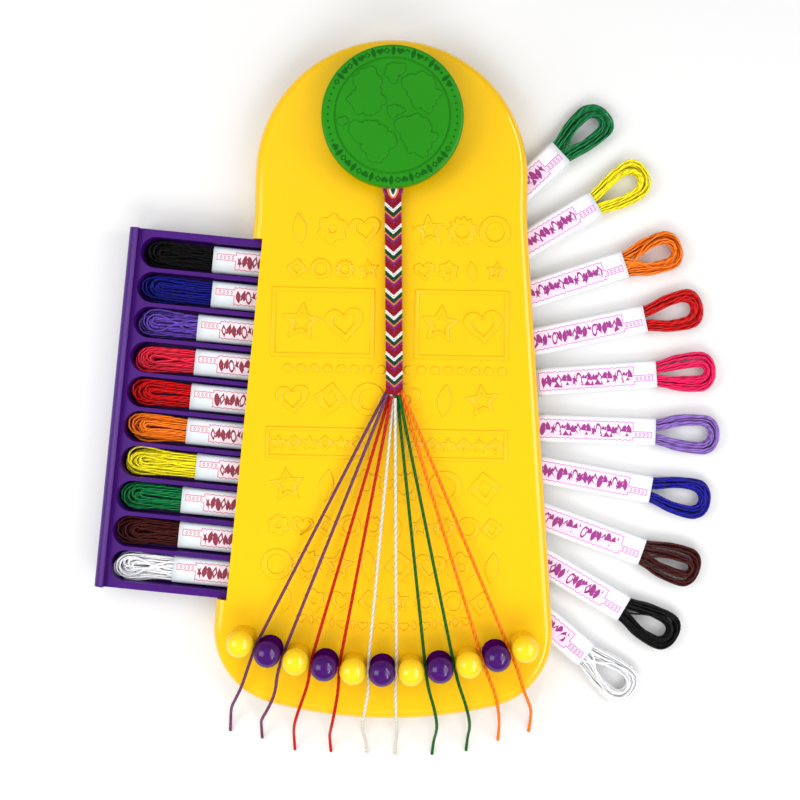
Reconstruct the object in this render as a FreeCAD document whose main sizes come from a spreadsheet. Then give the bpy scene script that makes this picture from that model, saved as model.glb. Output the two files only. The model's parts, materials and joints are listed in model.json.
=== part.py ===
import FreeCAD, Part

# A tabletop board for braiding friendship bracelets: a flat moulded case with a sprung clip at
# its round end, a row of pegs at its wide end, and a drawer of floss skeins in its left side.
#
# Frame: millimetres, +Z up. The origin is the middle of the case's underside, +Y runs towards
# the clip, -Y towards the pegs, and the drawer comes out to -X.

import math
import os

import Sketcher
from FreeCAD import Placement, Rotation, Vector

# ------------------------------------------------------------------ driving dimensions
# One row for each size: its name in the sheet, its value in millimetres or degrees, its meaning.
SIZES = (
    ("top_radius", 61.3, "radius of the round end of the case"),
    ("top_centre", 91.7, "how far the round end's centre lies from the middle of the case"),
    ("hip_place", 73.2, "where the sides turn outwards"),
    ("hip_radius", 130.0, "how gently they turn"),
    ("flare_angle", 4.62, "lean of each side below the hip"),
    ("side_long", 184.35, "length of each leaning side"),
    ("corner_radius", 34.1, "round of the two lower corners"),
    ("bottom_radius", 210.7, "shallow arc of the lower end"),
    ("case_height", 19.5, "table to deck"),
    ("case_wall", 2.4, "side wall of the case"),
    ("deck_thick", 2.6, "thickness of the deck"),
    ("edge_round", 4.4, "round of the case's upper edge"),
    ("floor_thick", 2.4, "thickness of the floor"),
    ("floor_gap", 0.15, "gap between floor and case wall"),
    ("slide_gap", 0.3, "gap round the drawer"),
    ("bay_height", 8.6, "headroom of the bay for loose skeins"),
    ("bay_wall", 2.0, "wall and roof of the bay"),
    ("bay_gap", 2.4, "closed drawer to the bay's wall"),
    ("bay_rise", 12.0, "how far the bay reaches above the round end's centre"),
    ("bay_fall", 11.0, "how far the bay reaches below the corner's centre"),
    ("bay_slant_side", 12.0, "width of the bay's slanted corner"),
    ("bay_slant_long", 16.0, "height of the bay's slanted corner"),
    ("drawer_start", 11.2, "from the hip to the upper end of the drawer, along the side"),
    ("drawer_long", 162.2, "length of the drawer's front bar"),
    ("drawer_deep", 97.5, "front bar to the tail of the drawer"),
    ("drawer_open", 55.4, "how far the drawer stands open"),
    ("drawer_more", 12.0, "how much further it slides to its stop"),
    ("bar_thick", 4.6, "thickness of the front bar"),
    ("tray_under", 0.3, "gap under the drawer"),
    ("tray_over", 0.7, "gap between drawer and deck"),
    ("pocket_rib", 1.75, "wall between two skein pockets"),
    ("pocket_end", 3.2, "wall beside the outermost pockets"),
    ("pocket_margin", 5.9, "front bar's face to the pockets"),
    ("pocket_tail", 3.4, "wall behind the pockets"),
    ("pocket_floor", 1.6, "floor of the pockets"),
    ("groove_deep", 1.5, "depth of the stop grooves in the drawer's ends"),
    ("groove_high", 4.0, "height of the stop grooves"),
    ("stop_size", 2.0, "length of a drawer stop"),
    ("stop_place", 8.0, "how far behind the case's side the stops stand"),
    ("stop_gap", 0.1, "play left at the end of the drawer's travel"),
    ("rail_thick", 2.2, "thickness of the drawer's rails"),
    ("rail_high", 9.0, "height of the rails above the floor"),
    ("boss_radius", 3.5, "radius of the screw bosses"),
    ("boss_inset", 9.0, "outline of the case to a boss"),
    ("boss_side", 13.5, "left side of the case to the boss below the drawer"),
    ("boss_clear", 2.0, "gap between that boss and the drawer's rail"),
    ("screw_radius", 1.25, "radius of a screw's shank"),
    ("head_radius", 2.6, "radius of a screw's head"),
    ("head_high", 1.4, "height of a screw's head"),
    ("screw_gap", 0.08, "gap round a screw"),
    ("screw_reach", 9.0, "how far a screw enters its boss"),
    ("peg_inset", 24.05, "lower end of the case to the middle peg"),
    ("peg_arc_radius", 174.5, "radius of the row of pegs"),
    ("peg_pitch", 12.75, "spacing of the pegs along their row"),
    ("ball_radius", 5.95, "round top of a peg"),
    ("ball_high", 13.6, "height of the ball's centre above the deck"),
    ("waist_deep", 0.5, "how far a peg's waist is drawn in"),
    ("peg_root", 0.6, "how deep a moulded peg grows out of the deck"),
    ("spigot_radius", 2.0, "plug under a purple peg or the clip's foot"),
    ("spigot_more", 2.0, "how far a plug comes through the deck"),
    ("plug_gap", 0.04, "gap round a plug"),
    ("disc_place", 115.1, "centre of the clip's disc"),
    ("disc_radius", 31.2, "radius of the disc"),
    ("disc_high", 14.0, "deck to the top of the disc"),
    ("disc_thick", 3.6, "thickness of the disc"),
    ("disc_round", 1.3, "round of the disc's upper edge"),
    ("skirt_thick", 2.0, "thickness of the disc's skirt"),
    ("skirt_deep", 5.4, "top of the disc to the skirt's lower edge"),
    ("ring_place", 25.2, "radius of the ring groove in the disc"),
    ("ring_width", 0.9, "width of the ring groove"),
    ("ring_deep", 0.5, "depth of the ring groove"),
    ("pivot_place", 5.9, "disc's centre to the hinge pin"),
    ("pivot_high", 5.5, "deck to the hinge pin"),
    ("pin_radius", 1.25, "radius of the hinge pin"),
    ("pin_gap", 0.06, "gap round the turning pin"),
    ("pin_head", 2.3, "radius of the pin's head"),
    ("pin_head_thick", 1.0, "thickness of the pin's head"),
    ("ear_radius", 3.2, "round of the hinge ears"),
    ("lid_ear_in", 7.0, "middle of the clip to the inner face of a lid ear"),
    ("lid_ear_thick", 2.8, "thickness of a lid ear"),
    ("ear_gap", 0.2, "gap between lid ear and foot ear"),
    ("foot_ear_thick", 3.0, "thickness of a foot ear"),
    ("foot_radius", 16.5, "radius of the clip's foot"),
    ("foot_thick", 2.0, "thickness of the foot"),
    ("jaw_place", 27.5, "disc's centre to the front of the jaws"),
    ("jaw_long", 4.6, "length of the jaws along the bracelet"),
    ("jaw_half", 9.5, "half of the jaws' width"),
    ("pad_thick", 1.2, "thickness of the rubber pad"),
    ("spigot_side", 11.0, "plugs of the foot, from the middle"),
    ("spigot_back", 6.0, "plugs of the foot, from the disc's centre"),
    ("spring_thick", 0.5, "strip steel of the clip's spring"),
    ("spring_bend", 3.2, "outer radius of the spring's bend round the pin"),
    ("spring_width", 8.0, "width of the spring"),
    ("spring_leg", 9.0, "hinge pin to the ends of the spring's legs"),
    ("band_width", 7.6, "width of the bracelet"),
    ("band_thick", 2.0, "thickness of the bracelet"),
    ("band_high", 3.0, "deck to the underside of the bracelet"),
    ("band_start", 94.4, "upper end of the bracelet"),
    ("band_shoulder", 4.7, "how far below the middle its edges end"),
    ("band_apex", 7.8, "how far below the middle its point ends"),
    ("band_side", 2.94, "how far the bracelet lies beside the middle line"),
    ("band_lean", 1.476, "lean of the bracelet against the middle line"),
    ("knot_radius", 2.5, "knot at the bracelet's upper end"),
    ("knot_thick", 3.2, "thickness of the knot"),
    ("soft_gap", 0.3, "gap round soft pieces"),
    ("thread_radius", 0.7, "radius of a working thread"),
    ("thread_high", 5.5, "deck to a thread between two pegs"),
    ("thread_out", 0.8, "bracelet's end to the start of a thread"),
    ("skein_room", 1.4, "pocket's wall to a skein inside its sleeve"),
    ("skein_thick", 6.4, "thickness of a skein"),
    ("skein_chamfer", 1.6, "chamfer of a skein's edges"),
    ("skein_tail", 1.5, "how far a skein comes out behind its sleeve"),
    ("sleeve_long", 55.5, "length of a paper sleeve"),
    ("sleeve_wall", 0.3, "thickness of the folded paper"),
    ("sleeve_gap", 0.15, "gap between skein and sleeve"),
    ("loop_long", 27.5, "length of the loop outside the sleeve"),
    ("loop_spread", 7.5, "sleeve to where the loop has its full width"),
    ("loop_half", 8.2, "half of a loose loop's width"),
    ("packed_room", 0.6, "pocket's wall to a packed loop"),
    ("eye_half", 2.3, "half of the eye's width in a loose loop"),
    ("eye_start", 9.0, "sleeve to the first centre of the eye"),
    ("eye_end", 18.5, "sleeve to the last centre of the eye"),
)

PURPLE_PEGS = 5
YELLOW_PEGS = 6
POCKETS = 10

# Skeins in the drawer from its upper to its lower end.
DRAWER_COLOURS = (
    "black", "navy", "violet", "rose", "red", "orange", "yellow", "green", "brown", "white",
)

# Loose skeins round the right side: colour, sleeve mouth to the right of the bay's wall and above
# the middle of the case in sleeve lengths, direction of the loop in degrees.
LOOSE_SKEINS = (
    ("green", 0.717, 1.908, 44.0),
    ("yellow", 1.013, 1.492, 32.0),
    ("orange", 1.263, 0.993, 19.0),
    ("red", 1.436, 0.546, 13.0),
    ("pink", 1.537, 0.090, 5.0),
    ("lavender", 1.539, -0.389, -1.0),
    ("blue", 1.510, -0.868, -9.5),
    ("brown", 1.449, -1.384, -19.0),
    ("black", 1.307, -1.854, -29.5),
    ("white", 1.006, -2.241, -39.0),
)

# The working threads' tails from left to right, as steps from the gap between two pegs: sideways
# and down the board in lengths of peg_inset, and the share of the thread's height that is left.
THREAD_TAILS = (
    ((-0.141, 0.424, 0.988), (-0.245, 0.765, 0.932), (-0.395, 1.073, 0.720),
     (-0.511, 1.306, 0.384), (-0.553, 1.538, 0.104), (-0.565, 1.842, 0.032)),
    ((-0.104, 0.374, 0.992), (-0.133, 0.732, 0.968), (-0.287, 1.073, 0.864),
     (-0.428, 1.331, 0.544), (-0.462, 1.538, 0.176), (-0.457, 1.813, 0.032)),
    ((-0.042, 0.416, 0.992), (-0.175, 0.807, 0.960), (-0.287, 1.156, 0.808),
     (-0.337, 1.414, 0.464), (-0.353, 1.638, 0.136), (-0.341, 1.913, 0.032)),
    ((-0.004, 0.412, 0.992), (-0.062, 0.811, 0.952), (-0.129, 1.160, 0.784),
     (-0.179, 1.401, 0.440), (-0.195, 1.601, 0.128), (-0.170, 1.859, 0.032)),
    ((0.029, 0.399, 0.992), (-0.050, 0.807, 0.952), (-0.091, 1.148, 0.776),
     (-0.067, 1.389, 0.432), (-0.025, 1.588, 0.128), (-0.008, 1.838, 0.032)),
    ((-0.017, 0.416, 0.992), (0.004, 0.823, 0.952), (0.025, 1.164, 0.776),
     (0.025, 1.405, 0.432), (0.008, 1.605, 0.128), (0.000, 1.863, 0.032)),
    ((0.058, 0.378, 0.992), (0.179, 0.761, 0.960), (0.245, 1.102, 0.800),
     (0.237, 1.360, 0.456), (0.204, 1.584, 0.136), (0.183, 1.875, 0.032)),
    ((0.091, 0.366, 0.992), (0.229, 0.740, 0.960), (0.320, 1.081, 0.816),
     (0.345, 1.347, 0.472), (0.328, 1.580, 0.144), (0.312, 1.871, 0.032)),
    ((0.121, 0.341, 0.992), (0.262, 0.665, 0.968), (0.337, 1.015, 0.864),
     (0.378, 1.272, 0.536), (0.412, 1.497, 0.176), (0.403, 1.771, 0.032)),
    ((0.150, 0.341, 0.984), (0.254, 0.699, 0.920), (0.395, 1.015, 0.704),
     (0.486, 1.247, 0.376), (0.511, 1.472, 0.104), (0.486, 1.755, 0.032)),
)

# The two layers in which the threads leave the bracelet, in shares of its thickness.
THREAD_LAYERS = (0.15, 0.87)

# Places of the bosses round the top arc and the lower right corner, in degrees.
TOP_BOSSES = (165, 90, 35)
CORNER_BOSS = -42

# Degrees in a radian.
DEGREES = 57.29578

# A tangent arc takes this share of the shorter run beside it.
ARC_SHARE = 0.45

TINY = 1e-6


# ------------------------------------------------------------------ sizes and formulas
class Size:
    """A length or an angle: its value, and the sheet formula that drives it."""

    def __init__(self, value, formula):
        self.value = float(value)
        self.formula = formula

    def __add__(self, other):
        other = as_size(other)
        return Size(self.value + other.value, f"({self.formula} + {other.formula})")

    def __sub__(self, other):
        other = as_size(other)
        return Size(self.value - other.value, f"({self.formula} - {other.formula})")

    def __mul__(self, other):
        other = as_size(other)
        return Size(self.value * other.value, f"({self.formula} * {other.formula})")

    def __truediv__(self, other):
        other = as_size(other)
        return Size(self.value / other.value, f"({self.formula} / {other.formula})")

    def __neg__(self):
        return Size(-self.value, f"(0 - {self.formula})")

    __radd__ = __add__
    __rmul__ = __mul__

    def __rsub__(self, other):
        return as_size(other) - self


def as_size(number):
    """A plain number as a Size."""
    if isinstance(number, Size):
        return number
    return Size(number, repr(float(number)))


def sine(angle):
    return Size(math.sin(math.radians(angle.value)), f"sin({angle.formula})")


def cosine(angle):
    return Size(math.cos(math.radians(angle.value)), f"cos({angle.formula})")


def tangent(angle):
    return Size(math.tan(math.radians(angle.value)), f"tan({angle.formula})")


def root(square):
    return Size(math.sqrt(square.value), f"sqrt({square.formula})")


class Sizes:
    """The driving dimensions, kept in a spreadsheet of the document."""

    def __init__(self, doc):
        self.sheet = doc.addObject("Spreadsheet::Sheet", "Sizes")
        for row, (name, value, meaning) in enumerate(SIZES, start=1):
            self.sheet.set(f"A{row}", str(value))
            self.sheet.setAlias(f"A{row}", name)
            self.sheet.set(f"B{row}", meaning)
        doc.recompute()

    def __getattr__(self, name):
        return Size(self.sheet.get(name), f"Sizes.{name}")

    # Places that several pieces share.
    def corner_side(self):
        """X of the lower corners' centres: each corner touches the leaning side's end."""
        out = self.top_radius + self.side_long * sine(self.flare_angle)
        return out - self.corner_radius * cosine(self.flare_angle)

    def corner_place(self):
        down = self.hip_place - self.side_long * cosine(self.flare_angle)
        return down - self.corner_radius * sine(self.flare_angle)

    def bottom_centre(self):
        """Y of the centre of the shallow lower arc, which runs into both corners."""
        reach = self.bottom_radius - self.corner_radius
        side = self.corner_side()
        return self.corner_place() + root(reach * reach - side * side)

    def lower_end(self):
        return self.bottom_centre() - self.bottom_radius

    def peg_centre(self):
        """Y of the centre of the row of pegs."""
        return self.lower_end() + self.peg_inset + self.peg_arc_radius

    def peg_step(self):
        """Angle from one peg to the next."""
        return self.peg_pitch / self.peg_arc_radius * DEGREES

    def deck(self):
        return self.case_height

    def under_deck(self):
        return self.case_height - self.deck_thick

    def side_point(self, along):
        """A point on the left side, that far from the hip."""
        x = -(self.top_radius + along * sine(self.flare_angle))
        y = self.hip_place - along * cosine(self.flare_angle)
        return x, y

    def drawer_frame(self):
        """Middle of the closed drawer's front face, on the left side of the case."""
        return self.side_point(self.drawer_start + self.drawer_long / 2)

    def drawer_turn(self):
        """The drawer's own X axis points out of the case, its Y axis towards the pegs."""
        return 180 - self.flare_angle

    def pivot_y(self):
        return self.disc_place + self.pivot_place

    def pivot_z(self):
        return self.deck() + self.pivot_high

    def disc_top(self):
        return self.deck() + self.disc_high

    def disc_under(self):
        return self.disc_top() - self.disc_thick

    def jaw_front(self):
        return self.disc_place - self.jaw_place

    def band_low(self):
        return self.deck() + self.band_high

    def band_top(self):
        return self.band_low() + self.band_thick

    def drawer_tail(self):
        """The closed drawer's upper inner corner, next to the bay."""
        x, y = self.side_point(self.drawer_start)
        x = x + self.drawer_deep * cosine(self.flare_angle)
        y = y - self.drawer_deep * sine(self.flare_angle)
        return x, y

    def bay_left(self):
        return self.drawer_tail()[0] + self.bay_gap

    def pocket_pitch(self):
        return (self.drawer_long - self.pocket_end * 2 + self.pocket_rib) / POCKETS

    def pocket_width(self):
        return self.pocket_pitch() - self.pocket_rib

    def skein_width(self):
        return self.pocket_width() - self.skein_room * 2

    def bosses(self):
        """X and Y of the screw bosses, clear of the drawer, the bay and the plugs."""
        ring = self.top_radius - self.boss_inset
        corner = self.corner_radius - self.boss_inset
        below = self.drawer_start + self.drawer_long + self.slide_gap + self.rail_thick
        side_x, side_y = self.side_point(below + self.boss_clear + self.boss_radius)
        places = [
            (ring * cosine(angle), self.top_centre + ring * sine(angle))
            for angle in (as_size(turn) for turn in TOP_BOSSES)
        ]
        turn = as_size(CORNER_BOSS)
        return places + [
            (side_x + self.boss_side * cosine(self.flare_angle),
             side_y - self.boss_side * sine(self.flare_angle)),
            (as_size(0), self.lower_end() + self.boss_inset),
            (self.corner_side() + corner * cosine(turn),
             self.corner_place() + corner * sine(turn)),
        ]

    def pocket_bottom(self):
        return self.floor_thick + self.tray_under + self.pocket_floor


# ------------------------------------------------------------------ document helpers
PLANE_SHIFTS = {
    "XY_Plane": lambda x, y, z: (x, y, z),
    "XZ_Plane": lambda x, y, z: (x, z, -y),
    "YZ_Plane": lambda x, y, z: (y, z, x),
}


def new_body(doc, name):
    body = doc.addObject("PartDesign::Body", name)
    body.Label = name
    return body


class Drawing:
    """A fully dimensioned sketch on one of a body's own origin planes."""

    def __init__(self, body, name, plane="XY_Plane", at=(0, 0, 0), turn=0):
        self.body = body
        self.sketch = body.newObject("Sketcher::SketchObject", name)
        support = [f for f in body.Origin.OriginFeatures if f.Role == plane][0]
        self.sketch.AttachmentSupport = [(support, "")]
        self.sketch.MapMode = "FlatFace"
        x, y, z = (as_size(v) for v in at)
        shift = PLANE_SHIFTS[plane](x, y, z)
        turn = as_size(turn)
        self.sketch.AttachmentOffset = Placement(
            Vector(*(part.value for part in shift)), Rotation(Vector(0, 0, 1), turn.value)
        )
        for axis, part in zip("xyz", shift):
            self.sketch.setExpression(f"AttachmentOffset.Base.{axis}", part.formula)
        if turn.value:
            self.sketch.setExpression("AttachmentOffset.Rotation.Angle", turn.formula)

    def bind(self, kind, *where, size):
        """Add a dimension that the sheet drives."""
        index = self.sketch.addConstraint(Sketcher.Constraint(kind, *where, size.value))
        name = f"size_{index}"
        self.sketch.renameConstraint(index, name)
        self.sketch.setExpression(f"Constraints.{name}", size.formula)

    def hold(self, element, point, along, size):
        """Hold one coordinate of a point, X or Y, from the sketch's origin."""
        if size.value == 0:
            axis = -2 if along == "X" else -1
            self.sketch.addConstraint(Sketcher.Constraint("PointOnObject", element, point, axis))
        else:
            self.bind(f"Distance{along}", -1, 1, element, point, size=size)

    def fix(self, element, point, x, y):
        """Hold a point at x and y from the sketch's origin."""
        self.hold(element, point, "X", as_size(x))
        self.hold(element, point, "Y", as_size(y))

    def circle(self, x, y, radius):
        x, y, radius = as_size(x), as_size(y), as_size(radius)
        round_line = Part.Circle(Vector(x.value, y.value, 0), Vector(0, 0, 1), radius.value)
        element = self.sketch.addGeometry(round_line)
        self.fix(element, 3, x, y)
        self.bind("Radius", element, size=radius)

    def arc(self, x, y, radius, start, end):
        """Add an arc by its centre, radius and two angles in degrees."""
        circle = Part.Circle(Vector(x.value, y.value, 0), Vector(0, 0, 1), radius.value)
        return self.sketch.addGeometry(
            Part.ArcOfCircle(circle, math.radians(start), math.radians(end))
        )

    def path(self, start, *steps):
        """A closed line through corners. A step is (x, y), or (x, y, radius, turn) for an arc
        to that corner, where turn is 1 anticlockwise and -1 clockwise."""
        corners = [tuple(as_size(v) for v in start)]
        elements = []
        for step in steps + (start,):
            here = corners[-1]
            there = tuple(as_size(v) for v in step[:2])
            if len(step) == 2:
                ends = [Vector(x.value, y.value, 0) for x, y in (here, there)]
                elements.append((self.sketch.addGeometry(Part.LineSegment(*ends)), 1, 2))
            else:
                elements.append(self.arc_step(here, there, as_size(step[2]), step[3]))
            corners.append(there)
        for number, (element, first, _) in enumerate(elements):
            before, _, last = elements[number - 1]
            self.sketch.addConstraint(
                Sketcher.Constraint("Coincident", before, last, element, first)
            )
            self.fix(element, first, *corners[number])

    def arc_step(self, here, there, radius, turn):
        """An arc between two corners, and the numbers of its first and last points. A half
        circle is held by its centre, any other arc by its radius."""
        a = Vector(here[0].value, here[1].value, 0)
        b = Vector(there[0].value, there[1].value, 0)
        half = (b - a).Length / 2
        rise = math.sqrt(max(radius.value**2 - half**2, 0))
        across = Vector(a.y - b.y, b.x - a.x, 0).normalize() * turn
        centre = (a + b) * 0.5 + across * rise
        first, last = (a, b) if turn > 0 else (b, a)
        start = math.atan2(first.y - centre.y, first.x - centre.x)
        end = math.atan2(last.y - centre.y, last.x - centre.x)
        if end <= start:
            end += 2 * math.pi
        circle = Part.Circle(centre, Vector(0, 0, 1), radius.value)
        element = self.sketch.addGeometry(Part.ArcOfCircle(circle, start, end))
        if rise > TINY ** 0.5 * half:
            self.bind("Radius", element, size=radius)
        elif abs(b.x - a.x) > abs(b.y - a.y):
            self.hold(element, 3, "Y", (here[1] + there[1]) / 2)
        else:
            self.hold(element, 3, "X", (here[0] + there[0]) / 2)
        return (element, 1, 2) if turn > 0 else (element, 2, 1)

    def rectangle(self, left, right, low, high):
        self.path((left, low), (right, low), (right, high), (left, high))

    def slot(self, left, right, y, radius):
        """A round-ended slot along the sketch's X axis, between two centres."""
        left, right, y, radius = (as_size(v) for v in (left, right, y, radius))
        near = self.arc(left, y, radius, 90, 270)
        far = self.arc(right, y, radius, -90, 90)
        ends = [
            (Vector(left.value, y.value + side * radius.value, 0),
             Vector(right.value, y.value + side * radius.value, 0))
            for side in (-1, 1)
        ]
        low, high = (self.sketch.addGeometry(Part.LineSegment(*pair)) for pair in ends)
        for joint in ((near, 2, low, 1), (low, 2, far, 1), (far, 2, high, 2), (high, 1, near, 1)):
            self.sketch.addConstraint(Sketcher.Constraint("Tangent", *joint))
        self.fix(near, 3, left, y)
        self.fix(far, 3, right, y)
        self.bind("Radius", near, size=radius)

    def board_outline(self, sizes, inset):
        """The outline of the case, drawn inwards by inset all round."""
        inset = as_size(inset)
        flare = sizes.flare_angle.value
        hip_side = sizes.top_radius + sizes.hip_radius
        hip_y = sizes.hip_place + sizes.hip_radius * tangent(sizes.flare_angle / 2)
        hip_radius = sizes.hip_radius + inset
        corner_side = sizes.corner_side()
        corner_y = sizes.corner_place()
        corner_radius = sizes.corner_radius - inset
        bottom_y = sizes.bottom_centre()
        lean = math.degrees(math.atan2(corner_y.value - bottom_y.value, corner_side.value))
        round_parts = [
            (as_size(0), sizes.top_centre, sizes.top_radius - inset, 0, 180),
            (-hip_side, hip_y, hip_radius, -flare, 0),
            (-corner_side, corner_y, corner_radius, 180 - flare, 180 - lean),
            (as_size(0), bottom_y, sizes.bottom_radius - inset, -180 - lean, lean),
            (corner_side, corner_y, corner_radius, lean, flare),
            (hip_side, hip_y, hip_radius, 180, 180 + flare),
        ]
        top, left_hip, left_corner, bottom, right_corner, right_hip = [
            self.arc(*part) for part in round_parts
        ]
        for element, part in zip(
            (top, left_hip, left_corner, bottom, right_corner, right_hip), round_parts
        ):
            if element != bottom:
                self.fix(element, 3, part[0], part[1])
            self.bind("Radius", element, size=part[2])
        for first, last in (
            ((top, 2), (left_hip, 2)),
            ((left_hip, 1), (left_corner, 1)),
            ((right_corner, 2), (right_hip, 2)),
            ((right_hip, 1), (top, 1)),
        ):
            line = self.sketch.addGeometry(
                Part.LineSegment(self.sketch.getPoint(*first), self.sketch.getPoint(*last))
            )
            self.sketch.addConstraint(Sketcher.Constraint("Tangent", *first, line, 1))
            self.sketch.addConstraint(Sketcher.Constraint("Tangent", line, 2, *last))
        self.sketch.addConstraint(Sketcher.Constraint("Tangent", left_corner, 2, bottom, 1))
        self.sketch.addConstraint(Sketcher.Constraint("Tangent", bottom, 2, right_corner, 1))


def finish_feature(body, feature):
    body.Document.recompute()
    if not feature.isValid() or feature.Shape.isNull():
        raise RuntimeError(f"{feature.Label} in {body.Label} has failed")
    return feature


def pad(drawing, height):
    """Raise a drawing by height along its normal."""
    feature = drawing.body.newObject("PartDesign::Pad", f"{drawing.sketch.Label}_pad")
    feature.Profile = drawing.sketch
    feature.setExpression("Length", as_size(height).formula)
    return finish_feature(drawing.body, feature)


def cut(drawing, depth, along_normal=False):
    """Cut a drawing into the body, against its normal or along it, and see that it removes
    material."""
    before = drawing.body.Shape.Volume
    feature = drawing.body.newObject("PartDesign::Pocket", f"{drawing.sketch.Label}_cut")
    feature.Profile = drawing.sketch
    feature.Reversed = along_normal
    feature.setExpression("Length", as_size(depth).formula)
    finish_feature(drawing.body, feature)
    if drawing.body.Shape.Volume > before - TINY:
        raise RuntimeError(f"{feature.Label} removes nothing")
    return feature


def turn_round(drawing, axis):
    """Turn a drawing a full circle about one of its own axes."""
    feature = drawing.body.newObject("PartDesign::Revolution", f"{drawing.sketch.Label}_turn")
    feature.Profile = drawing.sketch
    feature.ReferenceAxis = (drawing.sketch, [axis])
    feature.Angle = 360
    return finish_feature(drawing.body, feature)


def round_edges(body, radius, wanted, kind="Fillet"):
    """Fillet or chamfer the edges of the body's latest shape for which wanted() is true."""
    base = body.Tip
    edges = [f"Edge{n}" for n, edge in enumerate(base.Shape.Edges, start=1) if wanted(edge)]
    feature = body.newObject(f"PartDesign::{kind}", f"{body.Label}_{kind.lower()}")
    feature.Base = (base, edges)
    feature.setExpression("Radius" if kind == "Fillet" else "Size", as_size(radius).formula)
    return finish_feature(body, feature)


def repeat_round(body, feature, axis_drawing, count, angle):
    """Repeat a feature about the normal of a drawing through its origin."""
    pattern = body.newObject("PartDesign::PolarPattern", f"{feature.Label}_row")
    pattern.Originals = [feature]
    pattern.Axis = (axis_drawing.sketch, ["N_Axis"])
    pattern.Occurrences = count
    pattern.setExpression("Angle", as_size(angle).formula)
    body.Tip = pattern
    return finish_feature(body, pattern)


def repeat_along(drawing, feature, axis, count, length):
    """Repeat a feature along one axis of its own drawing, over a length."""
    body = drawing.body
    pattern = body.newObject("PartDesign::LinearPattern", f"{feature.Label}_row")
    pattern.Originals = [feature]
    pattern.Direction = (drawing.sketch, [axis])
    pattern.Occurrences = count
    pattern.setExpression("Length", as_size(length).formula)
    body.Tip = pattern
    return finish_feature(body, pattern)


def mirror_sideways(body, features):
    """Mirror features in the body's own YZ plane."""
    plane = [f for f in body.Origin.OriginFeatures if f.Role == "YZ_Plane"][0]
    pattern = body.newObject("PartDesign::Mirrored", f"{features[0].Label}_other_side")
    pattern.Originals = features
    pattern.MirrorPlane = (plane, [""])
    body.Tip = pattern
    return finish_feature(body, pattern)


def place(item, x=0, y=0, z=0, turn=0):
    """Place a sub-part by driven lengths and a turn about +Z."""
    x, y, z, turn = (as_size(v) for v in (x, y, z, turn))
    item.Placement = Placement(
        Vector(x.value, y.value, z.value), Rotation(Vector(0, 0, 1), turn.value)
    )
    for axis, part in (("x", x), ("y", y), ("z", z)):
        item.setExpression(f"Placement.Base.{axis}", part.formula)
    if turn.value:
        item.setExpression("Placement.Rotation.Angle", turn.formula)


def lies_at(edge, height):
    """True for an edge whose whole length lies at that height."""
    box = edge.BoundBox
    return abs(box.ZMin - height.value) < 1e-4 and abs(box.ZMax - height.value) < 1e-4


# ------------------------------------------------------------------ pegs
def peg_place(sizes, step):
    """Angle from the board's middle line, x and y of a peg; step 0 is the middle one."""
    angle = sizes.peg_step() * step
    x = sizes.peg_arc_radius * sine(angle)
    y = sizes.peg_centre() - sizes.peg_arc_radius * cosine(angle)
    return x, y


def draw_peg(drawing, sizes, start_z, root_radius, root_z):
    """Half of a peg: its root or plug, a drawn-in waist and a round top."""
    ball = sizes.ball_radius
    waist = sizes.ball_high * sizes.ball_high / 4 + sizes.waist_deep * sizes.waist_deep
    waist_radius = waist / (2 * sizes.waist_deep)
    centre = start_z + sizes.ball_high
    drawing.path(
        (0, root_z),
        (root_radius, root_z),
        (root_radius, start_z),
        (ball, start_z),
        (ball, centre, waist_radius, -1),
        (0, centre + ball, ball, 1),
    )


def build_purple_pegs(doc, sizes):
    for number in range(PURPLE_PEGS):
        body = new_body(doc, f"purple_peg_{number + 1}")
        half = Drawing(body, f"peg_half_{number + 1}", "XZ_Plane")
        plug = sizes.spigot_radius - sizes.plug_gap
        low = sizes.under_deck() - sizes.spigot_more
        draw_peg(half, sizes, sizes.deck(), plug, low)
        turn_round(half, "V_Axis")
        x, y = peg_place(sizes, 2 * number - (PURPLE_PEGS - 1))
        place(body, x, y)


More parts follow.
